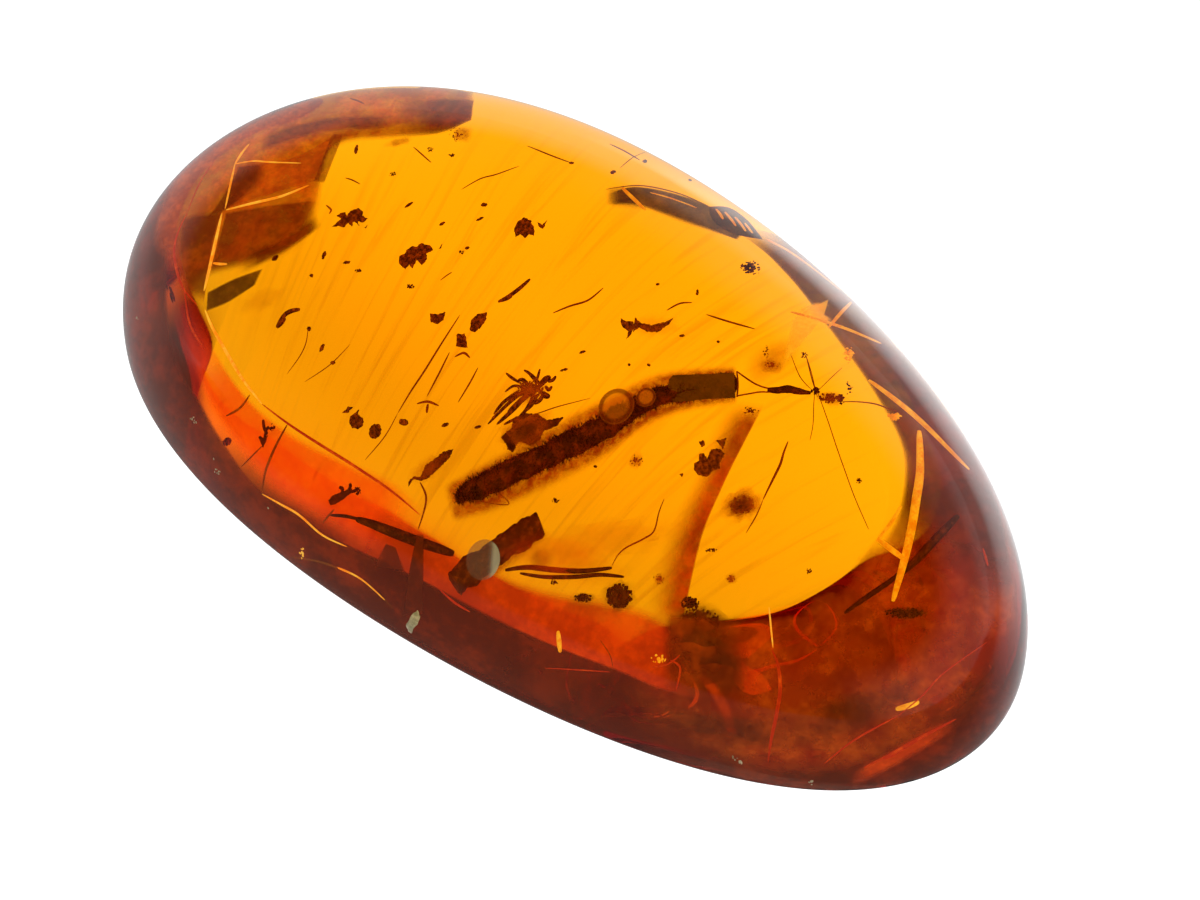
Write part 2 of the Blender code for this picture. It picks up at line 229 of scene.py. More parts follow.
def smooth_path(points, steps):
    """A smooth curve through the points, as steps + 1 samples."""
    ends = [points[0], *points, points[-1]]
    samples = []
    for index in range(steps + 1):
        along = index / steps * (len(points) - 1)
        leg = min(int(along), len(points) - 2)
        t = along - leg
        before, start, end, after = ends[leg : leg + 4]
        samples.append(tuple(
            0.5 * (2 * b + (c - a) * t + (2 * a - 5 * b + 4 * c - d) * t**2 + (3 * b - a - 3 * c + d) * t**3)
            for a, b, c, d in zip(before, start, end, after)
        ))
    return samples


def smooth_values(values, steps):
    """A smooth run of numbers through the given ones."""
    return [sample[0] for sample in smooth_path([(value,) for value in values], steps)]


def stitch(bm, first, second):
    """The faces between two rings of as many points."""
    for step in range(len(first)):
        after = (step + 1) % len(first)
        bm.faces.new((first[step], first[after], second[after], second[step]))


def fill_disc(bm, rings):
    """A disc's faces, from the one point in its middle out to its last ring."""
    middle, inner = rings[0][0], rings[1]
    for step in range(len(inner)):
        bm.faces.new((middle, inner[step], inner[(step + 1) % len(inner)]))
    for first, second in zip(rings[1:], rings[2:]):
        stitch(bm, first, second)


def add_tube(bm, path, radii, sides=5, rough=0.0, seed=0.0, flat=1.0):
    """A closed tube along 3-D points, its radius varied by noise, and flattened along Z."""
    rings = []
    side = Vector((0, 0, 1))
    for index, (point, radius) in enumerate(zip(path, radii)):
        ahead = path[min(index + 1, len(path) - 1)] - path[max(index - 1, 0)]
        ahead.normalize()
        side = (side - ahead * side.dot(ahead)).normalized()
        other = ahead.cross(side)
        ring = []
        for step in range(sides):
            turn = 2 * math.pi * step / sides
            out = side * math.sin(turn) * flat + other * math.cos(turn)
            reach = radius
            if rough:
                rim = point + out * radius
                lumps, grain = (rippled(rim, size, seed) for size in BARK_LUMPS)
                reach *= 1 + rough * (lumps + GRAIN_SHARE * grain)
            ring.append(bm.verts.new(point + out * reach))
        rings.append(ring)
    for first, second in zip(rings, rings[1:]):
        stitch(bm, first, second)
    bm.faces.new(reversed(rings[0]))
    bm.faces.new(rings[-1])


def add_line(bm, pixels, width, lift=0.0, depth=None, taper=0.7, steps=None, sides=5):
    """A hair, crack or needle drawn through pixels, width pixels wide and thinner at its ends."""
    steps = steps or 6 * (len(pixels) - 1) + 4
    path = [place(pixel, lift, depth) for pixel in smooth_path(pixels, steps)]
    spot = Spot(pixels[len(pixels) // 2], lift, depth)
    radius = width * spot.across.length / 2
    radii = []
    for index in range(steps + 1):
        middle = math.sin(math.pi * index / steps) ** 0.6
        radii.append(radius * (1 - taper + taper * middle))
    add_tube(bm, path, radii, sides)


def add_flake(bm, spot, outline, thick=0.06, ragged=1.2, tilt=(0.0, 0.0), seed=0.0):
    """A thin plate with a torn edge. The outline is in pixels from the spot."""
    torn = []
    corners = [Vector(corner) for corner in outline]
    for start, end in zip(corners, corners[1:] + corners[:1]):
        pieces = max(2, int((end - start).length / TEAR_STEP))
        for index in range(pieces):
            point = start.lerp(end, index / pieces)
            if index:
                wander = Vector((point.x, point.y, seed * 5)) * TEAR_WAVE
                shift = Vector((noise.noise(wander), noise.noise(wander + TEAR_SHIFT)))
                point = point + shift * ragged
            torn.append(point)
    top, bottom = [], []
    for point in torn:
        deeper = (tilt[0] * point.x + tilt[1] * point.y) * spot.across.length
        top.append(bm.verts.new(spot.at(point.x, point.y, deeper - thick / 2)))
        bottom.append(bm.verts.new(spot.at(point.x, point.y, deeper + thick / 2)))
    count = len(torn)
    for index in range(count):
        after = (index + 1) % count
        bm.faces.new((top[index], top[after], bottom[after], bottom[index]))
    for ring in (top, bottom):
        face = bm.faces.new(ring)
        bmesh.ops.triangulate(bm, faces=[face])


def add_crumb(bm, centre, size, seed):
    """A small rough grain."""
    made = bmesh.ops.create_icosphere(bm, subdivisions=1, radius=size)["verts"]
    for vert in made:
        vert.co *= 1 + CRUMB_ROUGH * rippled(vert.co + centre, size * CRUMB_LUMP, seed)
        vert.co += centre


def add_clot(bm, spot, half_width, half_height, count, size, seed, core=0.55):
    """A cloud of grains, dense in its middle and loose at its rim."""
    dice = random.Random(seed)
    for index in range(count):
        reach = dice.random() ** core
        turn = dice.uniform(0, 2 * math.pi)
        across = half_width * reach * math.cos(turn)
        down = half_height * reach * math.sin(turn)
        deeper = dice.uniform(-CLOT_DEPTH, CLOT_DEPTH) * (1 - 0.5 * reach)
        grain = size * dice.uniform(0.6, 1.2) * (1.15 - 0.7 * reach)
        add_crumb(bm, spot.at(across, down, deeper), grain, seed + index)


def oval(width, height, points=12, turn=0.0):
    """An oval outline in pixels, turned by an angle in degrees."""
    angle = math.radians(turn)
    outline = []
    for step in range(points):
        around = 2 * math.pi * step / points
        x, y = width / 2 * math.cos(around), height / 2 * math.sin(around)
        outline.append((x * math.cos(angle) - y * math.sin(angle),
                        x * math.sin(angle) + y * math.cos(angle)))
    return outline


# ---------------------------------------------------------------- materials


def srgb(red, green, blue):
    """A colour picked on a 0 to 255 scale, as the linear values that a shader takes."""
    linear = []
    for value in (red, green, blue):
        share = value / 255
        linear.append(share / 12.92 if share <= 0.04045 else ((share + 0.055) / 1.055) ** 2.4)
    return (*linear, 1.0)


def wire(tree, value, socket):
    if isinstance(value, bpy.types.NodeSocket):
        tree.links.new(value, socket)
    else:
        socket.default_value = value


def node(tree, kind, sockets=(), **settings):
    made = tree.nodes.new("ShaderNode" + kind)
    for name, value in settings.items():
        setattr(made, name, value)
    for key, value in dict(sockets).items():
        wire(tree, value, made.inputs[key])
    return made


def calc(tree, operation, *values, clamp=False):
    made = node(tree, "Math", enumerate(values), operation=operation, use_clamp=clamp)
    return made.outputs[0]


def dot(tree, first, second):
    return node(tree, "VectorMath", {0: first, 1: second}, operation="DOT_PRODUCT").outputs["Value"]


def fade(tree, value, start, end, low=0.0, high=1.0):
    """A smooth step from low to high while the value goes from start to end."""
    sockets = {"Value": value, "From Min": start, "From Max": end, "To Min": low, "To Max": high}
    return node(tree, "MapRange", sockets, interpolation_type="SMOOTHSTEP").outputs["Result"]


def choose(tree, switch, off, on):
    """off where the switch is 0, on where it is 1, both plain numbers."""
    return node(tree, "Mix", {"Factor": switch, "A": off, "B": on}, data_type="FLOAT").outputs["Result"]


def blended(tree, factor, first, second):
    made = node(tree, "Mix", data_type="RGBA")
    wire(tree, factor, made.inputs[0])
    wire(tree, first, made.inputs[6])
    wire(tree, second, made.inputs[7])
    return made.outputs[2]


def new_group(name, inputs, outputs):
    group = bpy.data.node_groups.new(name, "ShaderNodeTree")
    for title, kind in inputs:
        group.interface.new_socket(title, in_out="INPUT", socket_type="NodeSocket" + kind)
    for title, kind in outputs:
        group.interface.new_socket(title, in_out="OUTPUT", socket_type="NodeSocket" + kind)
    return group, group.nodes.new("NodeGroupInput").outputs, group.nodes.new("NodeGroupOutput").inputs


PATCH_WEIGHT, GRAIN_WEIGHT = 0.65, 0.35
GRAIN_FINER = 5.0  # how much finer than its patches
MOTTLE_SOFT = 0.14  # half the width of the step between the two colours
FILM_TEARS = (0.35, 0.60)  # the noise at which a film is torn and at which it is whole
TEAR_SIZE = 0.6  # of a film's patches
FILM_ROUGHNESS = 0.55
DEBRIS_RELIEF = 0.06 * MM
SWIRL_SCALE, SWIRL_STRENGTH, SWIRL_RELIEF = 220.0, 0.12, 0.4 * MM  # the faint waves of the polished skin
SHARP_EDGE = math.radians(50)


def mottle_group():
    """Two colours in soft patches with fine grain over them, and the relief that goes with it."""
    group, given, out = new_group(
        "mottle",
        [("Dark", "Color"), ("Light", "Color"), ("Patch Size", "Float"), ("Light Share", "Float")],
        [("Color", "Color"), ("Relief", "Float")],
    )
    spot = node(group, "TexCoord").outputs["Object"]
    per_metre = calc(group, "DIVIDE", 1 / MM, given["Patch Size"])
    patches = node(group, "TexNoise", {"Vector": spot, "Scale": per_metre, "Detail": 3.0})
    fine = calc(group, "MULTIPLY", per_metre, GRAIN_FINER)
    grain = node(group, "TexNoise", {"Vector": spot, "Scale": fine, "Detail": 2.0, "Roughness": 0.6})
    mixed = calc(group, "ADD", calc(group, "MULTIPLY", patches.outputs[0], PATCH_WEIGHT),
                 calc(group, "MULTIPLY", grain.outputs[0], GRAIN_WEIGHT))
    edge = calc(group, "SUBTRACT", 1.0, given["Light Share"])
    low = calc(group, "SUBTRACT", edge, MOTTLE_SOFT)
    high = calc(group, "ADD", edge, MOTTLE_SOFT)
    mask = fade(group, mixed, low, high)
    wire(group, blended(group, mask, given["Dark"], given["Light"]), out["Color"])
    wire(group, mixed, out["Relief"])
    return group


def veil_group():
    """How much of a thin film shows: the cover that its mesh gives, broken up by soft noise."""
    group, given, out = new_group(
        "film_cover",
        [("Given Cover", "Float"), ("Patch Size", "Float"), ("Break Up", "Float")],
        [("Cover", "Float")],
    )
    spot = node(group, "TexCoord").outputs["Object"]
    per_metre = calc(group, "DIVIDE", 1 / MM, given["Patch Size"])
    cloud = node(group, "TexNoise", {"Vector": spot, "Scale": per_metre, "Detail": 4.0, "Roughness": 0.65})
    torn = calc(group, "SUBTRACT", 1.0, fade(group, cloud.outputs[0], *FILM_TEARS))
    kept = calc(group, "SUBTRACT", 1.0, calc(group, "MULTIPLY", given["Break Up"], torn))
    wire(group, calc(group, "MULTIPLY", given["Given Cover"], kept, clamp=True), out["Cover"])
    return group


def new_material(name):
    material = bpy.data.materials.new(name)
    material.use_nodes = True
    tree = material.node_tree
    return material, tree, tree.nodes["Principled BSDF"]


def use_group(tree, group, **values):
    made = tree.nodes.new("ShaderNodeGroup")
    made.node_tree = group
    for name, value in values.items():
        wire(tree, value, made.inputs[name.replace("_", " ").title()])
    return made.outputs


def clear_amber():
    material, tree, shader = new_material("clear_amber")
    shader.inputs["Base Color"].default_value = (1, 1, 1, 1)
    shader.inputs["Roughness"].default_value = 0.0
    shader.inputs["Transmission Weight"].default_value = 1.0
    shader.inputs["IOR"].default_value = AMBER_IOR
    spot = node(tree, "TexCoord").outputs["Object"]
    swirl = node(tree, "TexNoise", {"Vector": spot, "Scale": SWIRL_SCALE, "Detail": 1.0})
    relief = {"Strength": SWIRL_STRENGTH, "Distance": SWIRL_RELIEF, "Height": swirl.outputs[0]}
    bump = node(tree, "Bump", relief)
    wire(tree, bump.outputs["Normal"], shader.inputs["Normal"])
    depth = node(tree, "VolumeAbsorption")
    depth.inputs["Color"].default_value = (*(1 - loss / AMBER_DENSITY for loss in AMBER_LOSS), 1)
    depth.inputs["Density"].default_value = AMBER_DENSITY
    wire(tree, depth.outputs[0], tree.nodes["Material Output"].inputs["Volume"])
    return material


def debris(name, dark, light, patch=0.35, share=0.4, roughness=0.7, relief=0.5, glow=0.0):
    """An opaque dull material in two mottled colours, with a painted glow of its own where it should look
    lit or glinting.
    """
    material, tree, shader = new_material(name)
    spots = use_group(tree, MOTTLE, dark=dark, light=light, patch_size=patch, light_share=share)
    wire(tree, spots["Color"], shader.inputs["Base Color"])
    # painted light: the mottled colour also glows by the given strength
    wire(tree, spots["Color"], shader.inputs["Emission Color"])
    shader.inputs["Emission Strength"].default_value = glow
    shader.inputs["Roughness"].default_value = roughness
    bump = node(tree, "Bump", {"Strength": relief, "Distance": DEBRIS_RELIEF, "Height": spots["Relief"]})
    wire(tree, bump.outputs["Normal"], shader.inputs["Normal"])
    return material


def film(name, dark, light, patch=1.2, break_up=0.5, share=0.45, glow=0.4):
    """A thin see-through sheet inside the amber, such as a crack face or a stain, with a painted glow that
    stands in for light coming through it from behind.
    """
    material, tree, shader = new_material(name)
    spots = use_group(tree, MOTTLE, dark=dark, light=light, patch_size=patch, light_share=share)
    wire(tree, spots["Color"], shader.inputs["Base Color"])
    # painted light: the sheet glows in its own colour
    wire(tree, spots["Color"], shader.inputs["Emission Color"])
    shader.inputs["Emission Strength"].default_value = glow
    shader.inputs["Roughness"].default_value = FILM_ROUGHNESS
    given = node(tree, "Attribute", attribute_name="cover").outputs["Fac"]
    shown = use_group(tree, VEIL, given_cover=given, patch_size=patch * TEAR_SIZE, break_up=break_up)
    wire(tree, shown["Cover"], shader.inputs["Alpha"])
    return material


# ---------------------------------------------------------------- pieces


def piece(name, bm, material, stands_for=(), smooth=True):
    """Makes one object of the mesh work, which is in millimetres, and lets it ride on the stone."""
    bmesh.ops.recalc_face_normals(bm, faces=bm.faces)
    bmesh.ops.scale(bm, vec=(MM, MM, MM), verts=bm.verts)
    mesh = bpy.data.meshes.new(name)
    bm.to_mesh(mesh)
    bm.free()
    if smooth:
        mesh.shade_smooth()
        mesh.set_sharp_from_angle(angle=SHARP_EDGE)
    mesh.materials.append(material)
    obj = bpy.data.objects.new(name, mesh)
    bpy.context.scene.collection.objects.link(obj)
    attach(obj, "root")
    if stands_for:
        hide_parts(*stands_for)
    return obj


STONE_WORK = stone_mesh()
SURFACE = BVHTree.FromBMesh(STONE_WORK)
SKIN = [[(vert.co.copy(), vert.normal.copy()) for vert in face.verts] for face in STONE_WORK.faces]
MOTTLE = mottle_group()
VEIL = veil_group()

AMBER = clear_amber()
CUTICLE = debris("insect_cuticle", srgb(92, 34, 12), srgb(158, 74, 26), patch=0.5, share=0.45, relief=0.8)
PLATE = debris("folded_wing_case", srgb(110, 84, 72), srgb(138, 106, 92), patch=0.6, share=0.5,
               roughness=0.55)
LEAF = debris("leaf_scale_brown", srgb(100, 44, 10), srgb(206, 128, 36), patch=0.15, share=0.46)
CRUMB = debris("soft_brown_crumbs", srgb(112, 52, 16), srgb(182, 100, 34), patch=0.25, share=0.4)
BARK = debris("dark_bark", srgb(96, 34, 10), srgb(160, 78, 26), patch=0.3, share=0.4)
RED_BIT = debris("red_brown_bits", srgb(110, 24, 6), srgb(170, 50, 10), patch=0.25, share=0.4)
# The glow given to these is painted light that makes them look lit: gold straw and needles, red crack edges,
# hairs and pale chips
HAIRLINE = debris("brown_hairline", srgb(150, 68, 10), srgb(204, 112, 22), patch=0.8, share=0.4, glow=0.16)
GOLD = debris("dry_gold_straw", srgb(236, 160, 30), srgb(255, 216, 100), patch=0.5, share=0.5, glow=0.6)
# painted glint: bright gold that glows on its own
GLINT = debris("painted_glint_crack_edge", srgb(255, 150, 30), srgb(255, 206, 96), patch=0.8, share=0.5, glow=0.6)
RED_LINE = debris("red_crack_edge", srgb(200, 44, 4), srgb(250, 96, 10), patch=0.8, share=0.4, glow=0.25)
PALE = debris("pale_grey_chip", srgb(150, 156, 130), srgb(214, 214, 196), patch=0.3, share=0.5, glow=0.2)

# smoky crack faces, and painted shade where it serves big_pane_shadow, low_shade and low_shade_bottom
SMOKY = film("smoky_crack_face_and_painted_shade", srgb(110, 38, 8), srgb(168, 74, 18), patch=1.6, break_up=0.12)
# rusty crack faces, and the painted shade of corner_shade
RUSTY = film("rusty_crack_face_and_painted_shade", srgb(170, 72, 12), srgb(222, 112, 26), patch=1.2, break_up=0.15)
# grey crack faces, and the painted shadow of fracture_shadow
GREY = film("grey_crack_face_and_painted_shadow", srgb(74, 38, 28), srgb(112, 70, 54), patch=1.0, break_up=0.05)
FOLD = film("dark_red_fold", srgb(156, 42, 4), srgb(210, 74, 8), patch=1.5, break_up=0.1)
# painted light: orange-red sheets that glow to brighten the deep orange-red zones near the rim (ember_zone,
# ember_panel, the streaks and some soft spots)
EMBER = film("orange_red_painted_glow", srgb(196, 60, 4), srgb(240, 88, 6), patch=2.4, break_up=0.08)
BLAZE = film("bright_orange_red_painted_glow", srgb(238, 74, 3), srgb(255, 98, 5), patch=2.4, break_up=0.08, glow=0.6)
PETAL = film("orange_petal", srgb(255, 210, 110), srgb(255, 235, 150), patch=1.0, break_up=0.1, glow=0.6)
# painted shade: dark bands along the rim where the stone only looks dark; the same material colours the real
# dark wedges near the front
RIM = film("dark_stain_and_painted_rim_shade", srgb(92, 28, 5), srgb(134, 44, 8), patch=2.4, break_up=0.06)
# a brown cloud in the amber, with a stronger painted glow that lifts the dark right end
CLOUD = film("brown_cloud_and_painted_glow", srgb(150, 58, 16), srgb(208, 104, 38), patch=2.2, break_up=0.4, glow=0.55)
SMUDGE = film("soft_dark_smudge", srgb(92, 36, 8), srgb(130, 58, 14), patch=0.4, break_up=0.25, glow=0.2)
MURK = film("deep_brown_murk", srgb(70, 20, 8), srgb(104, 36, 12), patch=1.6, break_up=0.3, glow=0.3)
HALO = film("soft_brown_halo", srgb(170, 76, 10), srgb(206, 108, 18), patch=0.5, break_up=0.3)


# The first seed of each kind of clot
SEEDS = {
    "head": 30, "clot": 60, "tail": 80, "knob": 90, "tuft": 97, "speck": 200, "gold": 300, "rim": 400,
}


# ---------------------------------------------------------------- the stone itself


def build_stone():
    stone = piece("clear_stone", STONE_WORK, AMBER, ("amber_upper", "amber_lower"))
    stone.data.shade_smooth()
    return stone


# ---------------------------------------------------------------- the insect

# Its middle line in pixels, and half its thickness there, from the tail tip to the front plate
BODY_LINE = (
    (456, 500), (470, 490), (490, 482), (515, 470), (545, 456), (575, 441),
    (600, 428), (622, 415), (645, 402), (668, 393), (690, 389), (715, 385), (735, 384),
)
BODY_HALF = (4, 10, 12.5, 13, 13.5, 14, 13.5, 12.5, 10.5, 10, 12, 12, 11)
PLATE_OUTLINE = ((-34, -7), (-30, -11), (0, -12), (31, -14), (32, 12), (5, 13), (-28, 15), (-35, 8))
PLATE_SPOT = (703, 386)
FUNNEL_LINES = (
    ((737, 371), (745, 377), (756, 384), (768, 388), (780, 388)),
    ((737, 396), (748, 394), (760, 392), (770, 392), (782, 391)),
    ((737, 371), (738, 384), (737, 397)),
)
NECK_LINE = ((768, 390), (778, 390), (790, 389), (802, 392), (811, 393))
NECK_HALF = (2.5, 3.8, 4.4, 3.4, 1.6)
HEAD_SPOTS = (((816, 391), 4, 4, 16), ((829, 398), 11, 5, 46), ((840, 399), 5, 6, 20))
FEELER_LINE = ((842, 402), (858, 402), (874, 404), (888, 409), (901, 413))
LEG_LINES = (
    (((816, 391), (812, 374), (806, 355)), 1.6),
    (((818, 391), (830, 379), (842, 368)), 1.4),
    (((815, 393), (814, 406), (813, 424), (810, 440)), 1.5),
    (((818, 393), (828, 420), (838, 451), (852, 490), (869, 529)), 1.8),
)
LEG_SHARE = 0.6
FUNNEL_WIDTH, FEELER_WIDTH = 2.0, 1.8
BODY_LIFT, BODY_SHARE, PLATE_LIFT = -0.05, 0.92, 0.42
BODY_STEPS, NECK_STEPS = 96, 24
HEAD_GRAIN = 0.09
FUZZ_HAIRS = 2600
FUZZ_LENGTH, FUZZ_LEAN, FUZZ_RADIUS = (0.10, 0.30), 0.7, 0.022
FUZZ_ROOT = 0.9  # where in the body's radius a hair starts
SPIKE_TURNS = (0, 2.1, 4.2)


def build_insect():
    bm = bmesh.new()
    scale = Spot(BODY_LINE[6]).across.length
    path = [place(pixel, BODY_LIFT) for pixel in smooth_path(BODY_LINE, BODY_STEPS)]
    radii = [half * scale * BODY_SHARE for half in smooth_values(BODY_HALF, BODY_STEPS)]
    add_tube(bm, path, radii, sides=36, rough=0.30, seed=1, flat=0.9)
    dice = random.Random(4)
    for _ in range(FUZZ_HAIRS):
        index = dice.randrange(1, BODY_STEPS - 1)
        ahead = (path[index + 1] - path[index - 1]).normalized()
        side = ahead.cross(Vector((0, 0, 1))).normalized()
        turn = dice.uniform(0, 2 * math.pi)
        out = side * math.cos(turn) + side.cross(ahead) * math.sin(turn)
        root = path[index] + out * radii[index] * FUZZ_ROOT
        lean = out + ahead * dice.uniform(-FUZZ_LEAN, FUZZ_LEAN)
        tip = root + lean.normalized() * dice.uniform(*FUZZ_LENGTH)
        add_spike(bm, root, tip, FUZZ_RADIUS)
    neck = [place(pixel) for pixel in smooth_path(NECK_LINE, NECK_STEPS)]
    neck_radii = [half * scale for half in smooth_values(NECK_HALF, NECK_STEPS)]
    add_tube(bm, neck, neck_radii, sides=10, rough=0.25, seed=2)
    for index, (pixel, half_width, half_height, count) in enumerate(HEAD_SPOTS):
        add_clot(bm, Spot(pixel), half_width, half_height, count, HEAD_GRAIN, SEEDS["head"] + index)
    piece("long_bodied_insect", bm, CUTICLE, ("insect",))
    bm = bmesh.new()
    for pixels in FUNNEL_LINES:
        add_line(bm, pixels, FUNNEL_WIDTH, taper=0.2)
    add_line(bm, FEELER_LINE, FEELER_WIDTH, taper=0.6)
    for pixels, width in LEG_LINES:
        add_line(bm, pixels, width * LEG_SHARE, taper=0.5)
    piece("insect_legs", bm, HAIRLINE)
    bm = bmesh.new()
    add_flake(bm, Spot(PLATE_SPOT, PLATE_LIFT), PLATE_OUTLINE, thick=0.08, ragged=0.5, seed=3)
    piece("insect_wing_case", bm, PLATE)


def add_spike(bm, root, tip, radius):
    """A hair as a three-sided spike."""
    ahead = (tip - root).normalized()
    side = ahead.orthogonal().normalized()
    other = ahead.cross(side)
    foot = [
        bm.verts.new(root + (side * math.cos(turn) + other * math.sin(turn)) * radius)
        for turn in SPIKE_TURNS
    ]
    point = bm.verts.new(tip)
    bm.faces.new(foot)
    for index in range(3):
        bm.faces.new((foot[index], point, foot[(index + 1) % 3]))


# ---------------------------------------------------------------- leaf scales and other flakes

# Each has its pixel and the outlines of its plates, in pixels of the frame
FLAKES = {
    "leaf_scale_a": ((350, 219), LEAF, (
        ((331, 227), (337, 222), (341, 219), (336, 216), (340, 213), (345, 212), (347, 216), (350, 211),
         (358, 208), (363, 212), (362, 216), (368, 219), (363, 223), (358, 222), (360, 226), (354, 222),
         (352, 227), (348, 223), (345, 227), (339, 226)),
        ((364, 228), (368, 225), (366, 229)),
    )),
    "leaf_scale_b": ((415, 256), LEAF, (
        ((400, 256), (406, 253), (407, 250), (413, 246), (417, 247), (422, 243), (430, 245), (433, 250),
         (426, 254), (427, 259), (422, 265), (417, 260), (413, 268), (410, 264), (406, 269), (400, 263)),
        ((438, 248), (443, 243), (441, 248)),
    )),
    "leaf_scale_d": ((707, 463), LEAF, (
        ((694, 463), (699, 461), (699, 454), (704, 453), (707, 459), (711, 449), (720, 448), (725, 454),
         (720, 462), (720, 469), (713, 471), (707, 477), (698, 475), (694, 470)),
        ((699, 441), (704, 440), (705, 445), (701, 447)),
        ((716, 440), (727, 437), (723, 449), (719, 443)),
        ((679, 474), (683, 473), (682, 477)),
    )),
    "wing_scale": ((648, 325), LEAF, (
        ((620, 318), (626, 321), (633, 321), (635, 326), (630, 335), (626, 339), (628, 331), (622, 327)),
        ((635, 317), (640, 322), (652, 325), (666, 321), (674, 317), (668, 325), (658, 332), (647, 332),
         (639, 327), (633, 332)),
    )),
    "bell_scale": ((524, 228), LEAF, (
        ((515, 237), (514, 228), (518, 221), (524, 217), (530, 220), (534, 227), (534, 236), (529, 234),
         (525, 238), (520, 234)),
        ((537, 222), (542, 225), (547, 220), (543, 229), (539, 227)),
    )),
    "square_scale": ((437, 317), LEAF, (
        ((430, 313), (437, 314), (446, 312), (444, 320), (438, 324), (431, 322)),
    )),
    "bud_scale": ((478, 322), LEAF, (
        ((470, 330), (471, 320), (477, 314), (487, 312), (486, 320), (481, 327), (475, 332)),
    )),
    "wedge_scale": ((462, 340), LEAF, (
        ((457, 334), (465, 333), (468, 348), (456, 346)),
    )),
    "pear_seed": ((355, 420), LEAF, (
        ((349, 422), (350, 416), (354, 413), (359, 409), (358, 414), (363, 418), (363, 425), (358, 429),
         (352, 428)),
        ((342, 413), (348, 406), (353, 407), (349, 412)),
    )),
    "round_seed": ((375, 431), LEAF, (oval(13, 16, turn=20),)),
    "curled_scale": ((428, 467), CRUMB, (
        ((408, 482), (413, 477), (420, 477), (425, 466), (430, 462), (437, 457), (444, 451), (453, 449),
         (449, 458), (441, 466), (435, 472), (427, 479), (420, 481), (413, 480), (408, 487)),
    )),
    "bark_crumb": ((528, 430), CRUMB, (
        ((501, 437), (512, 427), (513, 418), (525, 413), (539, 414), (547, 420), (563, 417), (557, 426),
         (544, 431), (540, 440), (531, 445), (519, 441), (514, 450), (508, 447)),
        ((507, 441), (516, 443), (513, 452), (507, 449)),
    )),
}
# Small loose flecks: pixel, width, height and turn, each an oval with a torn edge
FLECKS = (
    (409, 205, 11, 3, -35), (484, 205, 7, 4, -10), (480, 219, 9, 3, -25), (324, 255, 4, 9, 20),
    (347, 262, 8, 3, -15), (312, 275, 4, 4, 0), (309, 329, 4, 5, 10), (322, 348, 4, 9, 25),
    (333, 363, 5, 4, 0), (582, 352, 7, 3, -20), (564, 370, 8, 3, -15), (629, 365, 3, 3, 0),
    (649, 365, 4, 3, 15), (658, 284, 4, 3, 0), (697, 292, 3, 6, 10), (682, 336, 6, 3, -10),
    (718, 342, 3, 3, 0), (404, 422, 10, 7, 10), (478, 427, 8, 3, -15), (445, 425, 8, 4, -25),
    (356, 149, 4, 10, 10), (442, 224, 7, 3, -30), (275, 258, 8, 5, -40), (645, 161, 5, 4, 0),
    (571, 163, 5, 3, 0), (700, 460, 3, 4, 0), (467, 248, 5, 3, -20), (595, 466, 4, 3, 0),
    (690, 180, 4, 3, 0), (613, 172, 6, 4, -15),
)
SOFT_FLECKS = (
    (659, 579, 11, 11, 0), (731, 579, 9, 8, 0), (809, 571, 6, 6, 0), (772, 364, 16, 7, 5),
    (766, 352, 6, 13, -20),
    (804, 355, 8, 6, 0), (849, 388, 8, 15, -10), (749, 411, 20, 9, -10), (859, 481, 7, 6, 0),
    (556, 500, 8, 6, 0),
    (636, 461, 14, 12, -40), (430, 150, 8, 6, 0), (452, 155, 7, 4, 0), (457, 134, 16, 14, 0),
    (393, 174, 7, 5, 0),
    (359, 270, 8, 4, 0), (411, 286, 9, 5, -10), (462, 252, 8, 4, -20), (711, 550, 14, 4, 0),
    (554, 582, 9, 6, 10),
)


OVAL_REACH = 100
FLAKE_TILT = (0.2, -0.15)
SPECK_LIFT, SPECK_GRAIN, SPECK_COUNT = -0.5, 0.05, 10


def from_pixel(outline, pixel):
    return [(x - pixel[0], y - pixel[1]) for x, y in outline]


def build_flakes():
    for seed, (name, (pixel, material, outlines)) in enumerate(FLAKES.items()):
        bm = bmesh.new()
        spot = Spot(pixel)
        for outline in outlines:
            # an oval is already given from the spot
            offsets = outline if outline[0][0] < OVAL_REACH else from_pixel(outline, pixel)
            add_flake(bm, spot, offsets, thick=0.10, ragged=1.3, tilt=FLAKE_TILT, seed=seed + 0.5)
        piece(name + "_plate", bm, material, (name,))
    bm = bmesh.new()
    for seed, (x, y, width, height, turn) in enumerate(FLECKS):
        spot = Spot((x, y), 0.3 * math.sin(seed))
        add_flake(bm, spot, oval(width, height, 9, turn), thick=0.06, ragged=1.1, seed=seed)
    piece("loose_flecks", bm, LEAF)
    bm = bmesh.new()
    for seed, (x, y, width, height, turn) in enumerate(SOFT_FLECKS):
        spot, count = Spot((x, y), SPECK_LIFT), int(SPECK_COUNT + width)
        add_clot(bm, spot, width / 2, height / 2, count, SPECK_GRAIN, SEEDS["speck"] + seed)
    piece("soft_specks", bm, CRUMB)


# ---------------------------------------------------------------- clots, tufts and the small bugs

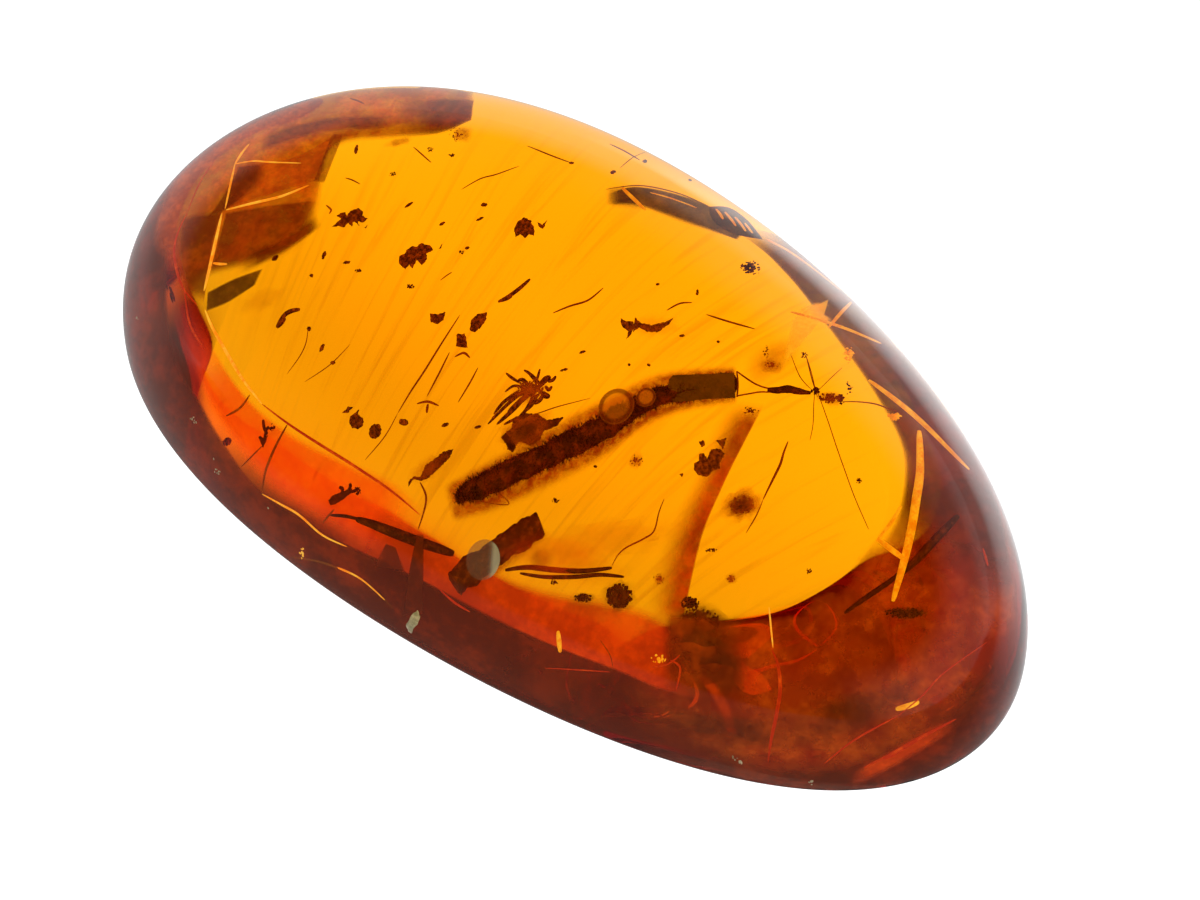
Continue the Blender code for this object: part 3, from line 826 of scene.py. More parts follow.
# Each stands for a solid: pixel, half width, half height, grains, grain size
CLOTS = {
    "leaf_scale_c": ((751, 268), 11, 7, 60, 0.075),
    "brown_blot": ((742, 505), 12, 9, 90, 0.10),
    "round_spot": ((619, 596), 13, 12, 220, 0.12),
    "dark_clot": ((698, 622), 22, 13, 150, 0.12),
    "small_clot": ((905, 613), 21, 5, 110, 0.09),
}
CLOT_TAILS = {"round_spot": ((583, 598), 9, 4, 40), "dark_clot": ((690, 604), 9, 7, 60)}
BUGS = {
    "small_bug_a": (
        ((259, 440), (268, 435), (263, 448)),
        (((264, 440), (266, 430), (269, 427)), ((263, 420), (264, 428), (267, 434)),
         ((259, 437), (262, 440), (266, 441))),
        ((272, 427), 3, 4, 14),
    ),
    "small_bug_b": (
        ((328, 500), (333, 495), (342, 492), (350, 488), (352, 492), (343, 499), (335, 504), (330, 505)),
        (((341, 494), (342, 489), (339, 487)), ((348, 490), (350, 486), (349, 484)),
         ((351, 492), (356, 490), (358, 488))),
        ((357, 491), 4, 4, 14),
    ),
}
TUFT_SPOT = (530, 390)
TUFT_SPIKES = (
    (((528, 394), (515, 408), (497, 424)), 5), (((524, 392), (508, 404), (488, 424)), 4),
    (((533, 396), (526, 410), (516, 420)), 4), (((538, 388), (545, 380), (551, 377)), 7),
    (((535, 386), (538, 376), (540, 369)), 3), (((522, 384), (512, 378), (506, 373)), 3),
    (((541, 392), (546, 396), (550, 397)), 6), (((525, 388), (514, 386), (505, 392)), 3),
    (((520, 390), (504, 402), (494, 414)), 4), (((545, 386), (549, 390), (552, 386)), 4),
    (((530, 386), (523, 380), (518, 380)), 4), (((516, 418), (510, 421), (504, 424)), 3),
    (((534, 390), (522, 400), (508, 412)), 6), (((540, 384), (534, 378), (528, 372)), 4),
    (((530, 392), (520, 394), (509, 400)), 5), (((538, 394), (532, 404), (524, 412)), 5),
    (((545, 392), (540, 400), (534, 404)), 5), (((536, 382), (530, 374), (524, 370)), 3),
    (((548, 382), (553, 380), (556, 376)), 4), (((512, 398), (504, 408), (492, 418)), 3),
)


TUFT_CORE = (13, 9, 90, 0.11)  # half width, half height, grains, grain size
TAIL_SHARE = 0.8
LIMB_WIDTH, KNOB_GRAIN = 3.2, 0.07


def build_clots():
    for seed, (name, (pixel, half_width, half_height, count, size)) in enumerate(CLOTS.items()):
        bm = bmesh.new()
        add_clot(bm, Spot(pixel), half_width, half_height, count, size, SEEDS["clot"] + seed)
        if name in CLOT_TAILS:
            tail, *extent = CLOT_TAILS[name]
            add_clot(bm, Spot(tail), *extent, size * TAIL_SHARE, SEEDS["tail"] + seed)
        piece(name + "_grains", bm, CRUMB, (name,))
    for seed, (name, (body, limbs, (knob, *extent))) in enumerate(BUGS.items()):
        bm = bmesh.new()
        add_flake(bm, Spot(body[0]), from_pixel(body, body[0]), thick=0.2, ragged=0.8, seed=seed)
        for pixels in limbs:
            add_line(bm, pixels, LIMB_WIDTH, taper=0.3)
        add_clot(bm, Spot(knob), *extent, KNOB_GRAIN, SEEDS["knob"] + seed)
        piece(name + "_body", bm, RED_BIT, (name,))
    bm = bmesh.new()
    add_clot(bm, Spot(TUFT_SPOT), *TUFT_CORE, SEEDS["tuft"])
    for pixels, width in TUFT_SPIKES:
        add_line(bm, pixels, width, taper=0.8)
    piece("star_tuft_spikes", bm, LEAF, ("star_tuft",))


# ---------------------------------------------------------------- long debris

STUB_LINE = ((454, 583), (470, 571), (500, 550), (525, 533), (540, 523))
STUB_HALF = (12, 13, 12.5, 12.5, 11)
# Each stands for a solid: material, record slot, and lines of pixels with their widths
LONG_BITS = {
    "bark_sliver": (CRUMB, "plant_debris", (
        (((505, 570), (528, 567), (555, 570), (585, 571), (612, 568)), 5),
        (((520, 573), (545, 577), (575, 577), (600, 575), (624, 577)), 4),
    )),
    "thin_blade": (BARK, "plant_debris", (
        (((356, 519), (372, 524), (390, 531), (416, 541), (440, 549), (454, 554)), 9),
        (((330, 515), (345, 516), (362, 520)), 3),
    )),
    "straw": (GOLD, "needle_gold", (
        (((919, 431), (919, 480), (908, 545), (893, 601)), 9),
    )),
    "long_needle": (GOLD, "needle_gold", (
        (((868, 380), (914, 415), (969, 469)), 6),
    )),
    "dark_bar": (BARK, "plant_debris", (
        (((958, 516), (945, 529), (930, 545), (914, 562), (895, 577)), 10),
        (((914, 562), (890, 581), (868, 596), (845, 612)), 6),
    )),
    "curled_sliver": (LEAF, "plant_debris", (
        (((277, 327), (281, 320), (286, 314), (293, 311), (300, 310)), 5),
        (((277, 327), (281, 323), (285, 318)), 6),
    )),
    "slim_chip": (LEAF, "plant_debris", (
        (((498, 302), (508, 297), (519, 289), (530, 279)), 5),
        (((498, 302), (506, 300), (512, 297)), 3),
    )),
}
LONG_LIFT = {"straw": 0.34, "dark_bar": -0.36, "long_needle": 0.6}
GOLD_NEEDLES = (
    (((851, 302), (840, 314), (829, 327)), 4), (((791, 312), (820, 320), (850, 330), (881, 343)), 4),
    (((901, 506), (892, 521), (877, 541)), 4), (((878, 539), (891, 549), (906, 560)), 6),
    (((896, 709), (908, 706), (919, 702)), 6), (((558, 631), (559, 642), (560, 652)), 5),
    (((622, 188), (632, 198), (645, 210)), 4),
    (((716, 209), (720, 214), (723, 219)), 3), (((725, 212), (731, 219), (736, 226)), 3),
    (((735, 217), (741, 224), (746, 231)), 3), (((745, 223), (749, 228), (753, 233)), 2.5),
    (((767, 239), (790, 252), (815, 270), (840, 290)), 2.0), (((650, 193), (672, 199), (696, 208)), 1.6),
)
GOLD_CRUMBS = (((849, 355), 6, 8, 26), ((894, 417), 8, 4, 20), ((659, 659), 8, 4, 14),
               ((302, 553), 3, 6, 8))


STUB_STEPS = 40
GOLD_LIFT, GOLD_GRAIN = 0.5, 0.09


def build_long_bits():
    bm = bmesh.new()
    scale = Spot(STUB_LINE[2]).across.length
    path = [place(pixel) for pixel in smooth_path(STUB_LINE, STUB_STEPS)]
    radii = [half * scale for half in smooth_values(STUB_HALF, STUB_STEPS)]
    add_tube(bm, path, radii, sides=24, rough=0.3, seed=6, flat=0.8)
    piece("twig_stub_bark", bm, CRUMB, ("twig_stub",))
    for name, (material, slot, lines) in LONG_BITS.items():
        bm = bmesh.new()
        for pixels, width in lines:
            add_line(bm, pixels, width, LONG_LIFT.get(name, 0.0), taper=0.6, sides=8)
        piece(name + "_strand", bm, material, (name,))
    bm = bmesh.new()
    for pixels, width in GOLD_NEEDLES:
        add_line(bm, pixels, width, GOLD_LIFT, taper=0.55, sides=6)
    for seed, (pixel, *extent) in enumerate(GOLD_CRUMBS):
        add_clot(bm, Spot(pixel, GOLD_LIFT), *extent, GOLD_GRAIN, SEEDS["gold"] + seed)
    piece("gold_needles", bm, GOLD)


# ---------------------------------------------------------------- hairs and cracks

# Thin dark hairs: pixels along them and their width
HAIRS = (
    (((460, 315), (442, 343), (425, 371), (411, 392), (398, 413)), 2.2),
    (((450, 352), (440, 373), (427, 397)), 2.0), (((478, 368), (470, 383), (458, 402)), 1.8),
    (((398, 413), (385, 436), (365, 460)), 1.2), (((308, 329), (306, 343), (300, 356), (287, 374)), 1.2),
    (((612, 566), (618, 555), (627, 547), (643, 539), (654, 531), (659, 512), (664, 499)), 1.8),
    (((788, 441), (784, 452), (781, 463), (777, 472), (770, 486), (763, 500)), 3.0),
    (((763, 500), (756, 516), (746, 533)), 1.4), (((553, 313), (570, 306), (588, 300), (603, 288)), 2.4),
    (((461, 190), (480, 179), (497, 174), (519, 166)), 1.6), (((413, 147), (422, 155), (431, 163)), 1.6),
    (((527, 146), (550, 155), (571, 163)), 1.6), (((706, 314), (730, 322), (755, 329)), 2.4),
    (((667, 310), (680, 303), (692, 302)), 2.2), (((288, 424), (276, 446), (266, 470), (262, 493)), 2.6),
    (((250, 395), (240, 408), (226, 416)), 2.2), (((262, 446), (252, 456), (241, 467)), 1.4),
    (((334, 509), (328, 516), (322, 523)), 2.0), (((420, 482), (426, 495), (425, 508), (418, 530)), 2.2),
    (((806, 355), (812, 378), (818, 398)), 1.2), (((455, 357), (464, 353), (470, 358)), 2.6),
    (((417, 404), (428, 402), (439, 406)), 2.4), (((428, 404), (427, 413)), 3.0),
    (((498, 492), (508, 505), (470, 500)), 1.0), (((600, 640), (610, 655), (613, 668)), 1.0),
    (((524, 418), (542, 412), (560, 406), (590, 398)), 1.2), (((350, 345), (330, 365), (305, 382)), 1.0),
    (((326, 205), (331, 210), (329, 214)), 2.0), (((620, 168), (632, 158), (645, 152)), 1.2),
    (((345, 178), (352, 180), (360, 184)), 1.6), (((610, 144), (625, 151), (640, 160)), 2.6),
    (((350, 98), (358, 101), (364, 104)), 2.0), (((262, 138), (285, 122), (305, 104)), 1.6),
    (((709, 207), (728, 208), (746, 220), (763, 239)), 2.4),
    (((709, 207), (714, 220), (732, 232), (763, 239)), 2.4),
    (((606, 190), (640, 186), (680, 194), (709, 207)), 1.8), (((790, 352), (800, 376), (812, 390)), 1.0),
    (((440, 280), (447, 275), (452, 272)), 1.4),
)
# Painted glints: crack edges drawn as glowing lines where they should catch the light, dull gold to bright
GLINTS = (
    (((222, 213), (216, 240), (210, 266), (204, 291)), 3.6), (((249, 144), (242, 153), (235, 164)), 2.8),
    (((235, 164), (230, 186), (225, 209)), 2.2), (((226, 210), (254, 203), (282, 196), (309, 185)), 3.2),
    (((235, 164), (253, 161), (271, 162), (301, 163)), 2.0), (((213, 263), (220, 264), (227, 264)), 2.6),
    (((205, 310), (213, 329), (226, 352), (243, 380), (262, 404)), 3.0),
    (((262, 494), (280, 504), (299, 515), (322, 535), (347, 547)), 2.2),
    (((292, 557), (312, 560), (330, 565), (361, 579), (393, 608)), 2.0),
    (((769, 607), (771, 628), (773, 648)), 2.0),
)
RED_LINES = (
    (((187, 213), (178, 232), (174, 251), (177, 272), (184, 290), (197, 305)), 2.4),
    (((772, 650), (778, 666), (780, 690), (776, 716), (771, 740), (768, 762)), 4.0),
    (((670, 660), (680, 668), (676, 690)), 2.4), (((844, 780), (865, 768), (887, 757), (920, 738),
                                                   (956, 719)), 5.0),
    (((824, 764), (850, 743), (875, 728), (898, 716)), 2.4),
    (((898, 716), (922, 696), (944, 673), (987, 642)), 1.8),
    (((187, 213), (200, 182), (215, 160)), 1.4), (((184, 290), (190, 325), (205, 350)), 2.0),
    (((262, 404), (290, 425), (322, 446), (354, 466), (390, 490), (420, 515)), 3.0),
    (((440, 590), (455, 603), (470, 612)), 2.6), (((545, 668), (580, 670), (610, 672)), 1.4),
    (((650, 668), (668, 664), (680, 655)), 2.0), (((983, 548), (986, 558), (988, 566)), 2.6),
)


HAIR_SPREAD = 0.2  # how far hairs lie over and under the flow surface
GLINT_DEPTH, RED_DEPTH = 2.2, 2.0  # under the stone's skin


def build_hairs():
    bm = bmesh.new()
    for index, (pixels, width) in enumerate(HAIRS):
        add_line(bm, pixels, width, HAIR_SPREAD * math.sin(index * 2.3), taper=0.8)
    piece("fine_hairs", bm, HAIRLINE)
    bm = bmesh.new()
    # painted glints along the crack edges
    for pixels, width in GLINTS:
        add_line(bm, pixels, width, depth=GLINT_DEPTH, taper=0.8)
    piece("painted_glint_crack_edges", bm, GLINT)
    bm = bmesh.new()
    for pixels, width in RED_LINES:
        add_line(bm, pixels, width, depth=RED_DEPTH, taper=0.85)
    piece("red_crack_edges", bm, RED_LINE)


# ---------------------------------------------------------------- crack faces: thin films inside the stone

# Each film has its material, the pixels of its two long edges, its lift over the flow surface, how
# softly it fades (at the start and end of the edges, then at the first and second edge), and its strength
FACES = {
    # painted shade along the left and near rim
    "rim_band": (
        RIM,
        (
            (182, 118), (136, 184), (114, 258), (111, 322), (124, 380), (151, 431), (187, 473),
            (233, 521), (304, 575), (395, 631), (495, 682), (596, 727), (667, 750),
        ),
        (
            (208, 165), (178, 215), (168, 265), (170, 320), (181, 370), (201, 402), (223, 440),
            (261, 490), (330, 535), (421, 579), (524, 631), (618, 671), (690, 700),
        ),
        -0.2, (0.1, 0.2, 0.02, 0.06), 0.9,
    ),
    # painted shade along the right rim
    "right_rim_band": (
        RIM,
        (
            (738, 232), (770, 256), (800, 290), (838, 342), (874, 395), (898, 439), (904, 473),
            (899, 506), (884, 540), (866, 564),
        ),
        (
            (744, 226), (800, 245), (850, 292), (900, 345), (950, 410), (988, 470), (1005, 530),
            (1012, 570), (1012, 600), (1000, 630),
        ),
        -0.7, (0.12, 0.3, 0.06, 0.02), 0.96,
    ),
    # painted shade along the low right rim
    "low_right_rim": (
        RIM,
        ((1034, 600), (1027, 668), (990, 740), (914, 784), (822, 802), (737, 790), (654, 758), (594, 728)),
        ((985, 600), (972, 660), (925, 706), (868, 740), (800, 756), (740, 744), (670, 716), (610, 690)),
        -0.2, (0.25, 0.3, 0.01, 0.5), 0.95,
    ),
    "right_cloud": (
        CLOUD,
        ((904, 450), (900, 505), (868, 560), (820, 604), (760, 618), (690, 622), (640, 640), (600, 668)),
        ((992, 470), (1018, 545), (1022, 620), (990, 700), (910, 760), (810, 785), (720, 768), (620, 722)),
        -0.9, (0.1, 0.2, 0.06, 0.1), 0.72,
    ),
    "ember_zone": (
        EMBER,
        ((322, 462), (378, 500), (420, 526), (470, 560), (540, 586), (610, 596), (660, 612), (690, 640)),
        ((290, 515), (345, 546), (421, 581), (480, 614), (551, 646), (618, 672), (660, 690), (700, 700)),
        -0.3, (0.3, 0.15, 0.22, 0.04), 0.92,
    ),
    "ember_panel": (
        BLAZE,
        ((198, 316), (216, 350), (238, 384), (268, 414), (310, 440), (356, 462), (398, 482), (430, 512)),
        ((176, 330), (192, 372), (208, 408), (234, 450), (270, 496), (318, 528), (366, 556), (420, 582)),
        -0.45, (0.3, 0.2, 0.16, 0.3), 0.8,
    ),
    "corner_shade": (
        RUSTY,
        ((186, 305), (212, 276), (290, 255), (318, 215), (334, 150), (395, 139), (448, 132), (474, 116)),
        ((150, 250), (165, 190), (195, 150), (245, 118), (300, 98), (355, 86), (415, 84), (474, 90)),
        0.0, (0.1, 0.03, 0.12, 0.08), 0.92,
    ),
    "top_disc_end": (
        SMOKY,
        ((392, 98), (440, 97), (474, 100)),
        ((392, 138), (440, 133), (472, 120)),
        0.3, (0.55, 0.04, 0.12, 0.06), 0.9,
    ),
    "top_streak": (
        SMOKY,
        ((262, 136), (300, 122), (345, 115), (392, 114)),
        ((262, 152), (300, 140), (345, 132), (390, 130)),
        0.3, (0.12, 0.15, 0.3, 0.3), 0.85,
    ),
    "upper_left_pane": (
        RUSTY,
        ((235, 164), (290, 158), (335, 134)),
        ((224, 210), (280, 192), (320, 180)),
        0.25, (0.05, 0.1, 0.05, 0.04), 0.7,
    ),
    "brown_blade": (
        SMOKY,
        ((332, 132), (312, 182)),
        ((343, 134), (324, 184)),
        0.4, (0.1, 0.1, 0.15, 0.1), 0.7,
    ),
    "dark_wedge": (
        SMOKY,
        ((238, 166), (226, 188), (206, 220)),
        ((268, 162), (264, 186), (226, 210)),
        0.4, (0.1, 0.15, 0.1, 0.45), 0.85,
    ),
    "big_pane": (
        SMOKY,
        ((226, 212), (275, 204), (318, 200)),
        ((208, 278), (262, 262), (318, 232)),
        0.25, (0.03, 0.2, 0.03, 0.18), 0.8,
    ),
    "big_pane_shadow": (
        SMOKY,
        ((236, 258), (280, 236), (318, 212)),
        ((238, 278), (285, 254), (324, 226)),
        0.4, (0.3, 0.2, 0.4, 0.3), 0.9,
    ),
    "left_pane": (
        SMOKY,
        ((174, 214), (172, 250), (186, 296)),
        ((224, 208), (212, 250), (204, 304)),
        0.3, (0.15, 0.15, 0.3, 0.04), 0.88,
    ),
    "grey_flake": (
        GREY,
        ((207, 292), (235, 278), (264, 268)),
        ((206, 312), (228, 303), (256, 285)),
        0.45, (0.05, 0.1, 0.1, 0.08), 0.95,
    ),
    "right_fracture": (
        GREY,
        ((606, 196), (640, 187), (706, 204), (742, 236)),
        ((606, 206), (640, 208), (690, 226), (738, 240)),
        0.2, (0.2, 0.04, 0.06, 0.2), 0.95,
    ),
    "striped_bubble": (
        GREY,
        ((709, 207), (728, 208), (746, 220), (763, 239)),
        ((709, 207), (714, 220), (732, 232), (763, 239)),
        0.45, (0.02, 0.02, 0.02, 0.02), 1.0,
    ),
    "fracture_shadow": (
        GREY,
        ((604, 186), (640, 184)),
        ((606, 208), (645, 212)),
        0.0, (0.4, 0.3, 0.35, 0.35), 0.7,
    ),
    "leaf_edge": (
        PETAL,
        ((792, 318), (812, 306), (830, 298)),
        ((780, 372), (806, 340), (824, 318)),
        0.5, (0.2, 0.1, 0.1, 0.2), 0.8,
    ),
    "leaf_stain": (
        FOLD,
        ((740, 352), (770, 336), (805, 330)),
        ((748, 398), (772, 384), (800, 368)),
        0.0, (0.45, 0.45, 0.45, 0.45), 0.5,
    ),
    "red_fold": (
        FOLD,
        ((726, 396), (704, 440), (684, 490), (658, 545), (640, 620)),
        ((766, 404), (742, 448), (721, 492), (700, 545), (680, 640)),
        -0.3, (0.15, 0.1, 0.8, 0.02), 0.95,
    ),
    "near_dark_wedge": (
        RIM,
        ((417, 533), (408, 575), (402, 618)),
        ((424, 533), (424, 575), (424, 618)),
        0.4, (0.1, 0.1, 0.1, 0.1), 1.0,
    ),
    "near_triangle": (
        RIM,
        ((386, 543), (372, 568)),
        ((396, 547), (406, 572)),
        0.4, (0.1, 0.1, 0.1, 0.1), 0.85,
    ),
    "low_shade": (
        SMOKY,
        ((664, 612), (662, 650), (664, 700)),
        ((740, 618), (752, 656), (756, 710)),
        0.35, (0.15, 0.4, 0.1, 0.45), 0.85,
    ),
    "low_shade_bottom": (
        SMOKY,
        ((640, 690), (700, 705), (780, 700), (860, 690)),
        ((640, 730), (700, 752), (790, 756), (880, 720)),
        0.1, (0.3, 0.3, 0.45, 0.3), 0.6,
    ),
    "orange_streak": (
        EMBER,
        ((846, 774), (890, 748), (952, 712)),
        ((852, 790), (900, 766), (962, 728)),
        0.3, (0.3, 0.3, 0.4, 0.4), 0.8,
    ),
    "second_streak": (
        EMBER,
        ((690, 672), (712, 700), (728, 740)),
        ((704, 668), (728, 698), (742, 738)),
        0.3, (0.3, 0.3, 0.4, 0.4), 0.5,
    ),
    "body_halo": (
        HALO,
        ((442, 484), (497, 452), (556, 419), (609, 391), (664, 369), (737, 363)),
        ((452, 524), (498, 514), (549, 491), (602, 463), (663, 421), (737, 405)),
        -0.5, (0.05, 0.02, 0.22, 0.22), 1.0,
    ),
    "twig_halo": (
        HALO,
        ((446, 574), (490, 542), (532, 510)),
        ((466, 602), (508, 572), (552, 536)),
        -0.5, (0.15, 0.12, 0.3, 0.3), 0.85,
    ),
}
# The solids that some of them stand for
FACE_SOLIDS = {
    "top_disc_end": ("crack_pane_top",),
    "upper_left_pane": ("crack_pane_upper",),
    "big_pane": ("crack_pane_broad",),
    "left_pane": ("crack_pane_left",),
    "grey_flake": ("crack_pane_low",),
    "right_fracture": ("crack_pane_right",),
}
FACE_STEPS = (56, 22)
WAVE_PX, WAVE_RISE = 22, 0.1  # length in pixels and height of the gentle waves in a film


def side_fade(share, start, end):
    """How much of a film is left this far across it, when its two sides fade softly."""
    kept = 1.0
    if start:
        kept *= min(1.0, share / start)
    if end:
        kept *= min(1.0, (1 - share) / end)
    return kept * kept * (3 - 2 * kept)


def build_face(name, material, first, second, lift, fades, strength):
    bm = bmesh.new()
    cover = bm.verts.layers.float.new("cover")
    along, across = FACE_STEPS
    rows = []
    for column, (start, end) in enumerate(zip(smooth_path(first, along), smooth_path(second, along))):
        line = []
        u = column / along
        for row in range(across + 1):
            v = row / across
            pixel = Vector(start).lerp(Vector(end), v)
            wave = Vector((*pixel, len(name) * WAVE_PX)) / WAVE_PX
            vert = bm.verts.new(place(pixel, lift + WAVE_RISE * noise.noise(wave)))
            vert[cover] = strength * side_fade(u, *fades[:2]) * side_fade(v, *fades[2:])
            line.append(vert)
        rows.append(line)
    for line, beyond in zip(rows, rows[1:]):
        for row in range(across):
            bm.faces.new((line[row], line[row + 1], beyond[row + 1], beyond[row]))
    piece(name + "_film", bm, material, FACE_SOLIDS.get(name, ()))


# Soft stains and patches of painted orange-red glow: material, pixel, half width, half height, turn in
# degrees, strength
SMUDGES = (
    (MURK, (852, 712), 62, 24, -18, 0.75), (MURK, (722, 672), 36, 30, 20, 0.6),
    (MURK, (905, 690), 30, 20, -30, 0.4),
    (HALO, (742, 505), 26, 19, -20, 1.0), (SMUDGE, (741, 505), 15, 12, -20, 0.7),
    (HALO, (526, 430), 34, 19, -22, 0.9), (SMUDGE, (524, 431), 24, 12, -22, 0.8),
    (SMUDGE, (619, 596), 19, 18, 0, 1.0), (SMUDGE, (584, 598), 13, 6, 0, 0.8),
    (SMUDGE, (700, 620), 34, 21, 5, 1.0), (SMUDGE, (704, 650), 40, 28, 10, 0.8),
    (SMUDGE, (905, 613), 25, 8, 0, 0.8), (HALO, (530, 392), 24, 16, -20, 0.7),
    (HALO, (830, 398), 18, 9, 10, 0.7), (HALO, (772, 366), 14, 9, 10, 0.6),
    (HALO, (655, 326), 30, 14, 0, 0.3),
    (HALO, (428, 468), 26, 12, -38, 0.5), (HALO, (462, 134), 12, 10, 0, 0.7),
    (HALO, (398, 142), 16, 5, -15, 0.7),
    (HALO, (659, 579), 7, 7, 0, 0.8), (HALO, (731, 579), 7, 6, 0, 0.8), (HALO, (636, 461), 10, 8, -40, 0.7),
    (PETAL, (812, 309), 19, 6, -22, 0.95), (PETAL, (803, 320), 15, 5, -32, 0.9),
    (PETAL, (824, 318), 11, 5, 30, 0.8),
    (SMUDGE, (540, 560), 14, 14, -40, 0.5), (MURK, (716, 728), 70, 20, 8, 0.6),
    (EMBER, (560, 560), 74, 26, 12, 0.4), (EMBER, (600, 540), 90, 24, -8, 0.3),
    (HALO, (820, 604), 26, 10, -30, 0.4), (HALO, (868, 562), 30, 12, -50, 0.4),
    (HALO, (262, 300), 30, 12, -20, 0.25),
)
SMUDGE_RINGS, SMUDGE_SPOKES = 8, 26
SMUDGE_LIFT, SMUDGE_RAGGED, SMUDGE_SOFT = 0.25, 0.3, 0.7
RAG_PX = 6  # length of the waves in a soft spot's rim, in pixels


def build_smudges():
    for seed, (material, pixel, half_width, half_height, turn, strength) in enumerate(SMUDGES):
        bm = bmesh.new()
        cover = bm.verts.layers.float.new("cover")
        spot = Spot(pixel, SMUDGE_LIFT)
        rings = [[bm.verts.new(spot.centre)]]
        rings[0][0][cover] = strength
        for ring in range(1, SMUDGE_RINGS + 1):
            share = ring / SMUDGE_RINGS
            line = []
            for x, y in oval(2 * half_width * share, 2 * half_height * share, SMUDGE_SPOKES, turn):
                ragged = 1 + SMUDGE_RAGGED * noise.noise(Vector((x, y, seed * WAVE_PX)) / RAG_PX)
                line.append(bm.verts.new(spot.at(x * ragged, y * ragged)))
                line[-1][cover] = strength * side_fade(share, 0, SMUDGE_SOFT)
            rings.append(line)
        fill_disc(bm, rings)
        piece(f"soft_smudge_{seed + 1:02d}", bm, material)


def build_faces():
    for name, details in FACES.items():
        build_face(name, *details)


# ---------------------------------------------------------------- bubbles and pale chips

# Pixel, radius in pixels and lift
BUBBLES = {
    "large_bubble": ((616, 406), 18, 0.9),
    "small_bubble": ((646, 397), 10, 0.9),
    "pale_bubble": ((483, 560), 17, 0.6),
}
PALE_CHIPS = (((413, 623), ((-5, 9), (-7, 2), (-2, -7), (4, -12), (7, -6), (4, 2), (0, 6), (-2, 11))),)
RIM_SPECKS = (
    (192, 418, 4), (195, 422, 3), (216, 471, 4), (219, 473, 3), (214, 459, 2),
    (268, 508, 2), (811, 781, 6), (137, 318, 3), (735, 757, 5), (741, 762, 4),
)
CHIP_DEPTH, SPECK_DEPTH = 0.7, 0.5
RIM_GRAINS, RIM_GRAIN = 5, 0.035
# A bubble's wall: where it turns away and carries a ring of painted shade, and how much it covers and shines
# there with a painted glow
SHADE_RING_OUTER, SHADE_RING_INNER = (0.80, 0.60), (0.10, 0.35)
WALL_EDGE, WALL_COVER, SHADE_RING_COVER = (0.0, 0.3), 0.28, 0.55
WALL_GLOW, PALE_HIGHLIGHT_GLOW, PALE_COVER = 0.4, 1.1, 0.1
WALL_MIDDLE_GLOW, WALL_RING_SHADE = srgb(246, 160, 40), srgb(120, 52, 8)
# The pale bubble has a painted highlight: a bright crescent at its right
HIGHLIGHT_EDGE, HIGHLIGHT_COVER = (0.2, 0.7), (0.0, 0.4, 0.2, 0.85)
PALE_SHADED_SIDE, PALE_HIGHLIGHT = (0.12, 0.08, 0.2, 1), (0.2, 0.28, 1.0, 1)


def build_bubbles():
    for name, (pixel, radius, lift) in BUBBLES.items():
        spot = Spot(pixel, lift)
        bm = bmesh.new()
        bmesh.ops.create_uvsphere(bm, u_segments=48, v_segments=24, radius=radius * spot.across.length)
        for vert in bm.verts:
            vert.co = spot.centre + vert.co
        size = radius * spot.across.length * MM
        crescent = name == "pale_bubble"
        skin = bubble_skin(name, -spot.ray, spot.across.normalized(), spot.centre * MM, size, crescent)
        piece(name, bm, skin)
    bm = bmesh.new()
    for pixel, outline in PALE_CHIPS:
        add_flake(bm, Spot(pixel, depth=CHIP_DEPTH), outline, thick=0.12, ragged=1.0, seed=2)
    for index, (x, y, size) in enumerate(RIM_SPECKS):
        spot, grain = Spot((x, y), depth=SPECK_DEPTH), RIM_GRAIN * size ** 0.5
        add_clot(bm, spot, size / 2, size / 1.5, RIM_GRAINS, grain, SEEDS["rim"] + index)
    piece("pale_rim_chips", bm, PALE)


def bubble_skin(name, facing, right, centre, radius, crescent):
    """A gas bubble's wall: thin in its middle, which glows as painted light, with a brown ring of painted
    shade where it turns away; the pale one has a painted highlight at its right.
    """
    material, tree, shader = new_material(name + "_wall")
    normal = node(tree, "NewGeometry").outputs["Normal"]
    towards = calc(tree, "ABSOLUTE", dot(tree, normal, facing))
    # painted shade: a darker ring where the wall turns away
    ring = calc(tree, "MULTIPLY", fade(tree, towards, *SHADE_RING_OUTER), fade(tree, towards, *SHADE_RING_INNER))
    color = blended(tree, ring, WALL_MIDDLE_GLOW, WALL_RING_SHADE)
    full = WALL_COVER + PALE_COVER * crescent
    cover = calc(tree, "MULTIPLY", fade(tree, towards, *WALL_EDGE), full)
    if crescent:
        # painted highlight: bright on the right side, shaded darker on the rest
        spot = node(tree, "TexCoord").outputs["Object"]
        inside = node(tree, "VectorMath", {0: spot, 1: centre}, operation="SUBTRACT").outputs[0]
        aside = calc(tree, "DIVIDE", dot(tree, inside, right), radius)
        highlight_share = fade(tree, aside, *HIGHLIGHT_EDGE)
        color = blended(tree, highlight_share, PALE_SHADED_SIDE, PALE_HIGHLIGHT)
        lit = calc(tree, "MULTIPLY", highlight_share, fade(tree, towards, *HIGHLIGHT_COVER))
        cover = calc(tree, "MAXIMUM", cover, lit)
    else:
        cover = calc(tree, "MAXIMUM", cover, calc(tree, "MULTIPLY", ring, SHADE_RING_COVER))
    wire(tree, color, shader.inputs["Base Color"])
    wire(tree, color, shader.inputs["Emission Color"])
    shader.inputs["Emission Strength"].default_value = PALE_HIGHLIGHT_GLOW if crescent else WALL_GLOW
    shader.inputs["Roughness"].default_value = 0.4
    wire(tree, cover, shader.inputs["Alpha"])
    return material


# ---------------------------------------------------------------- faint flow streaks

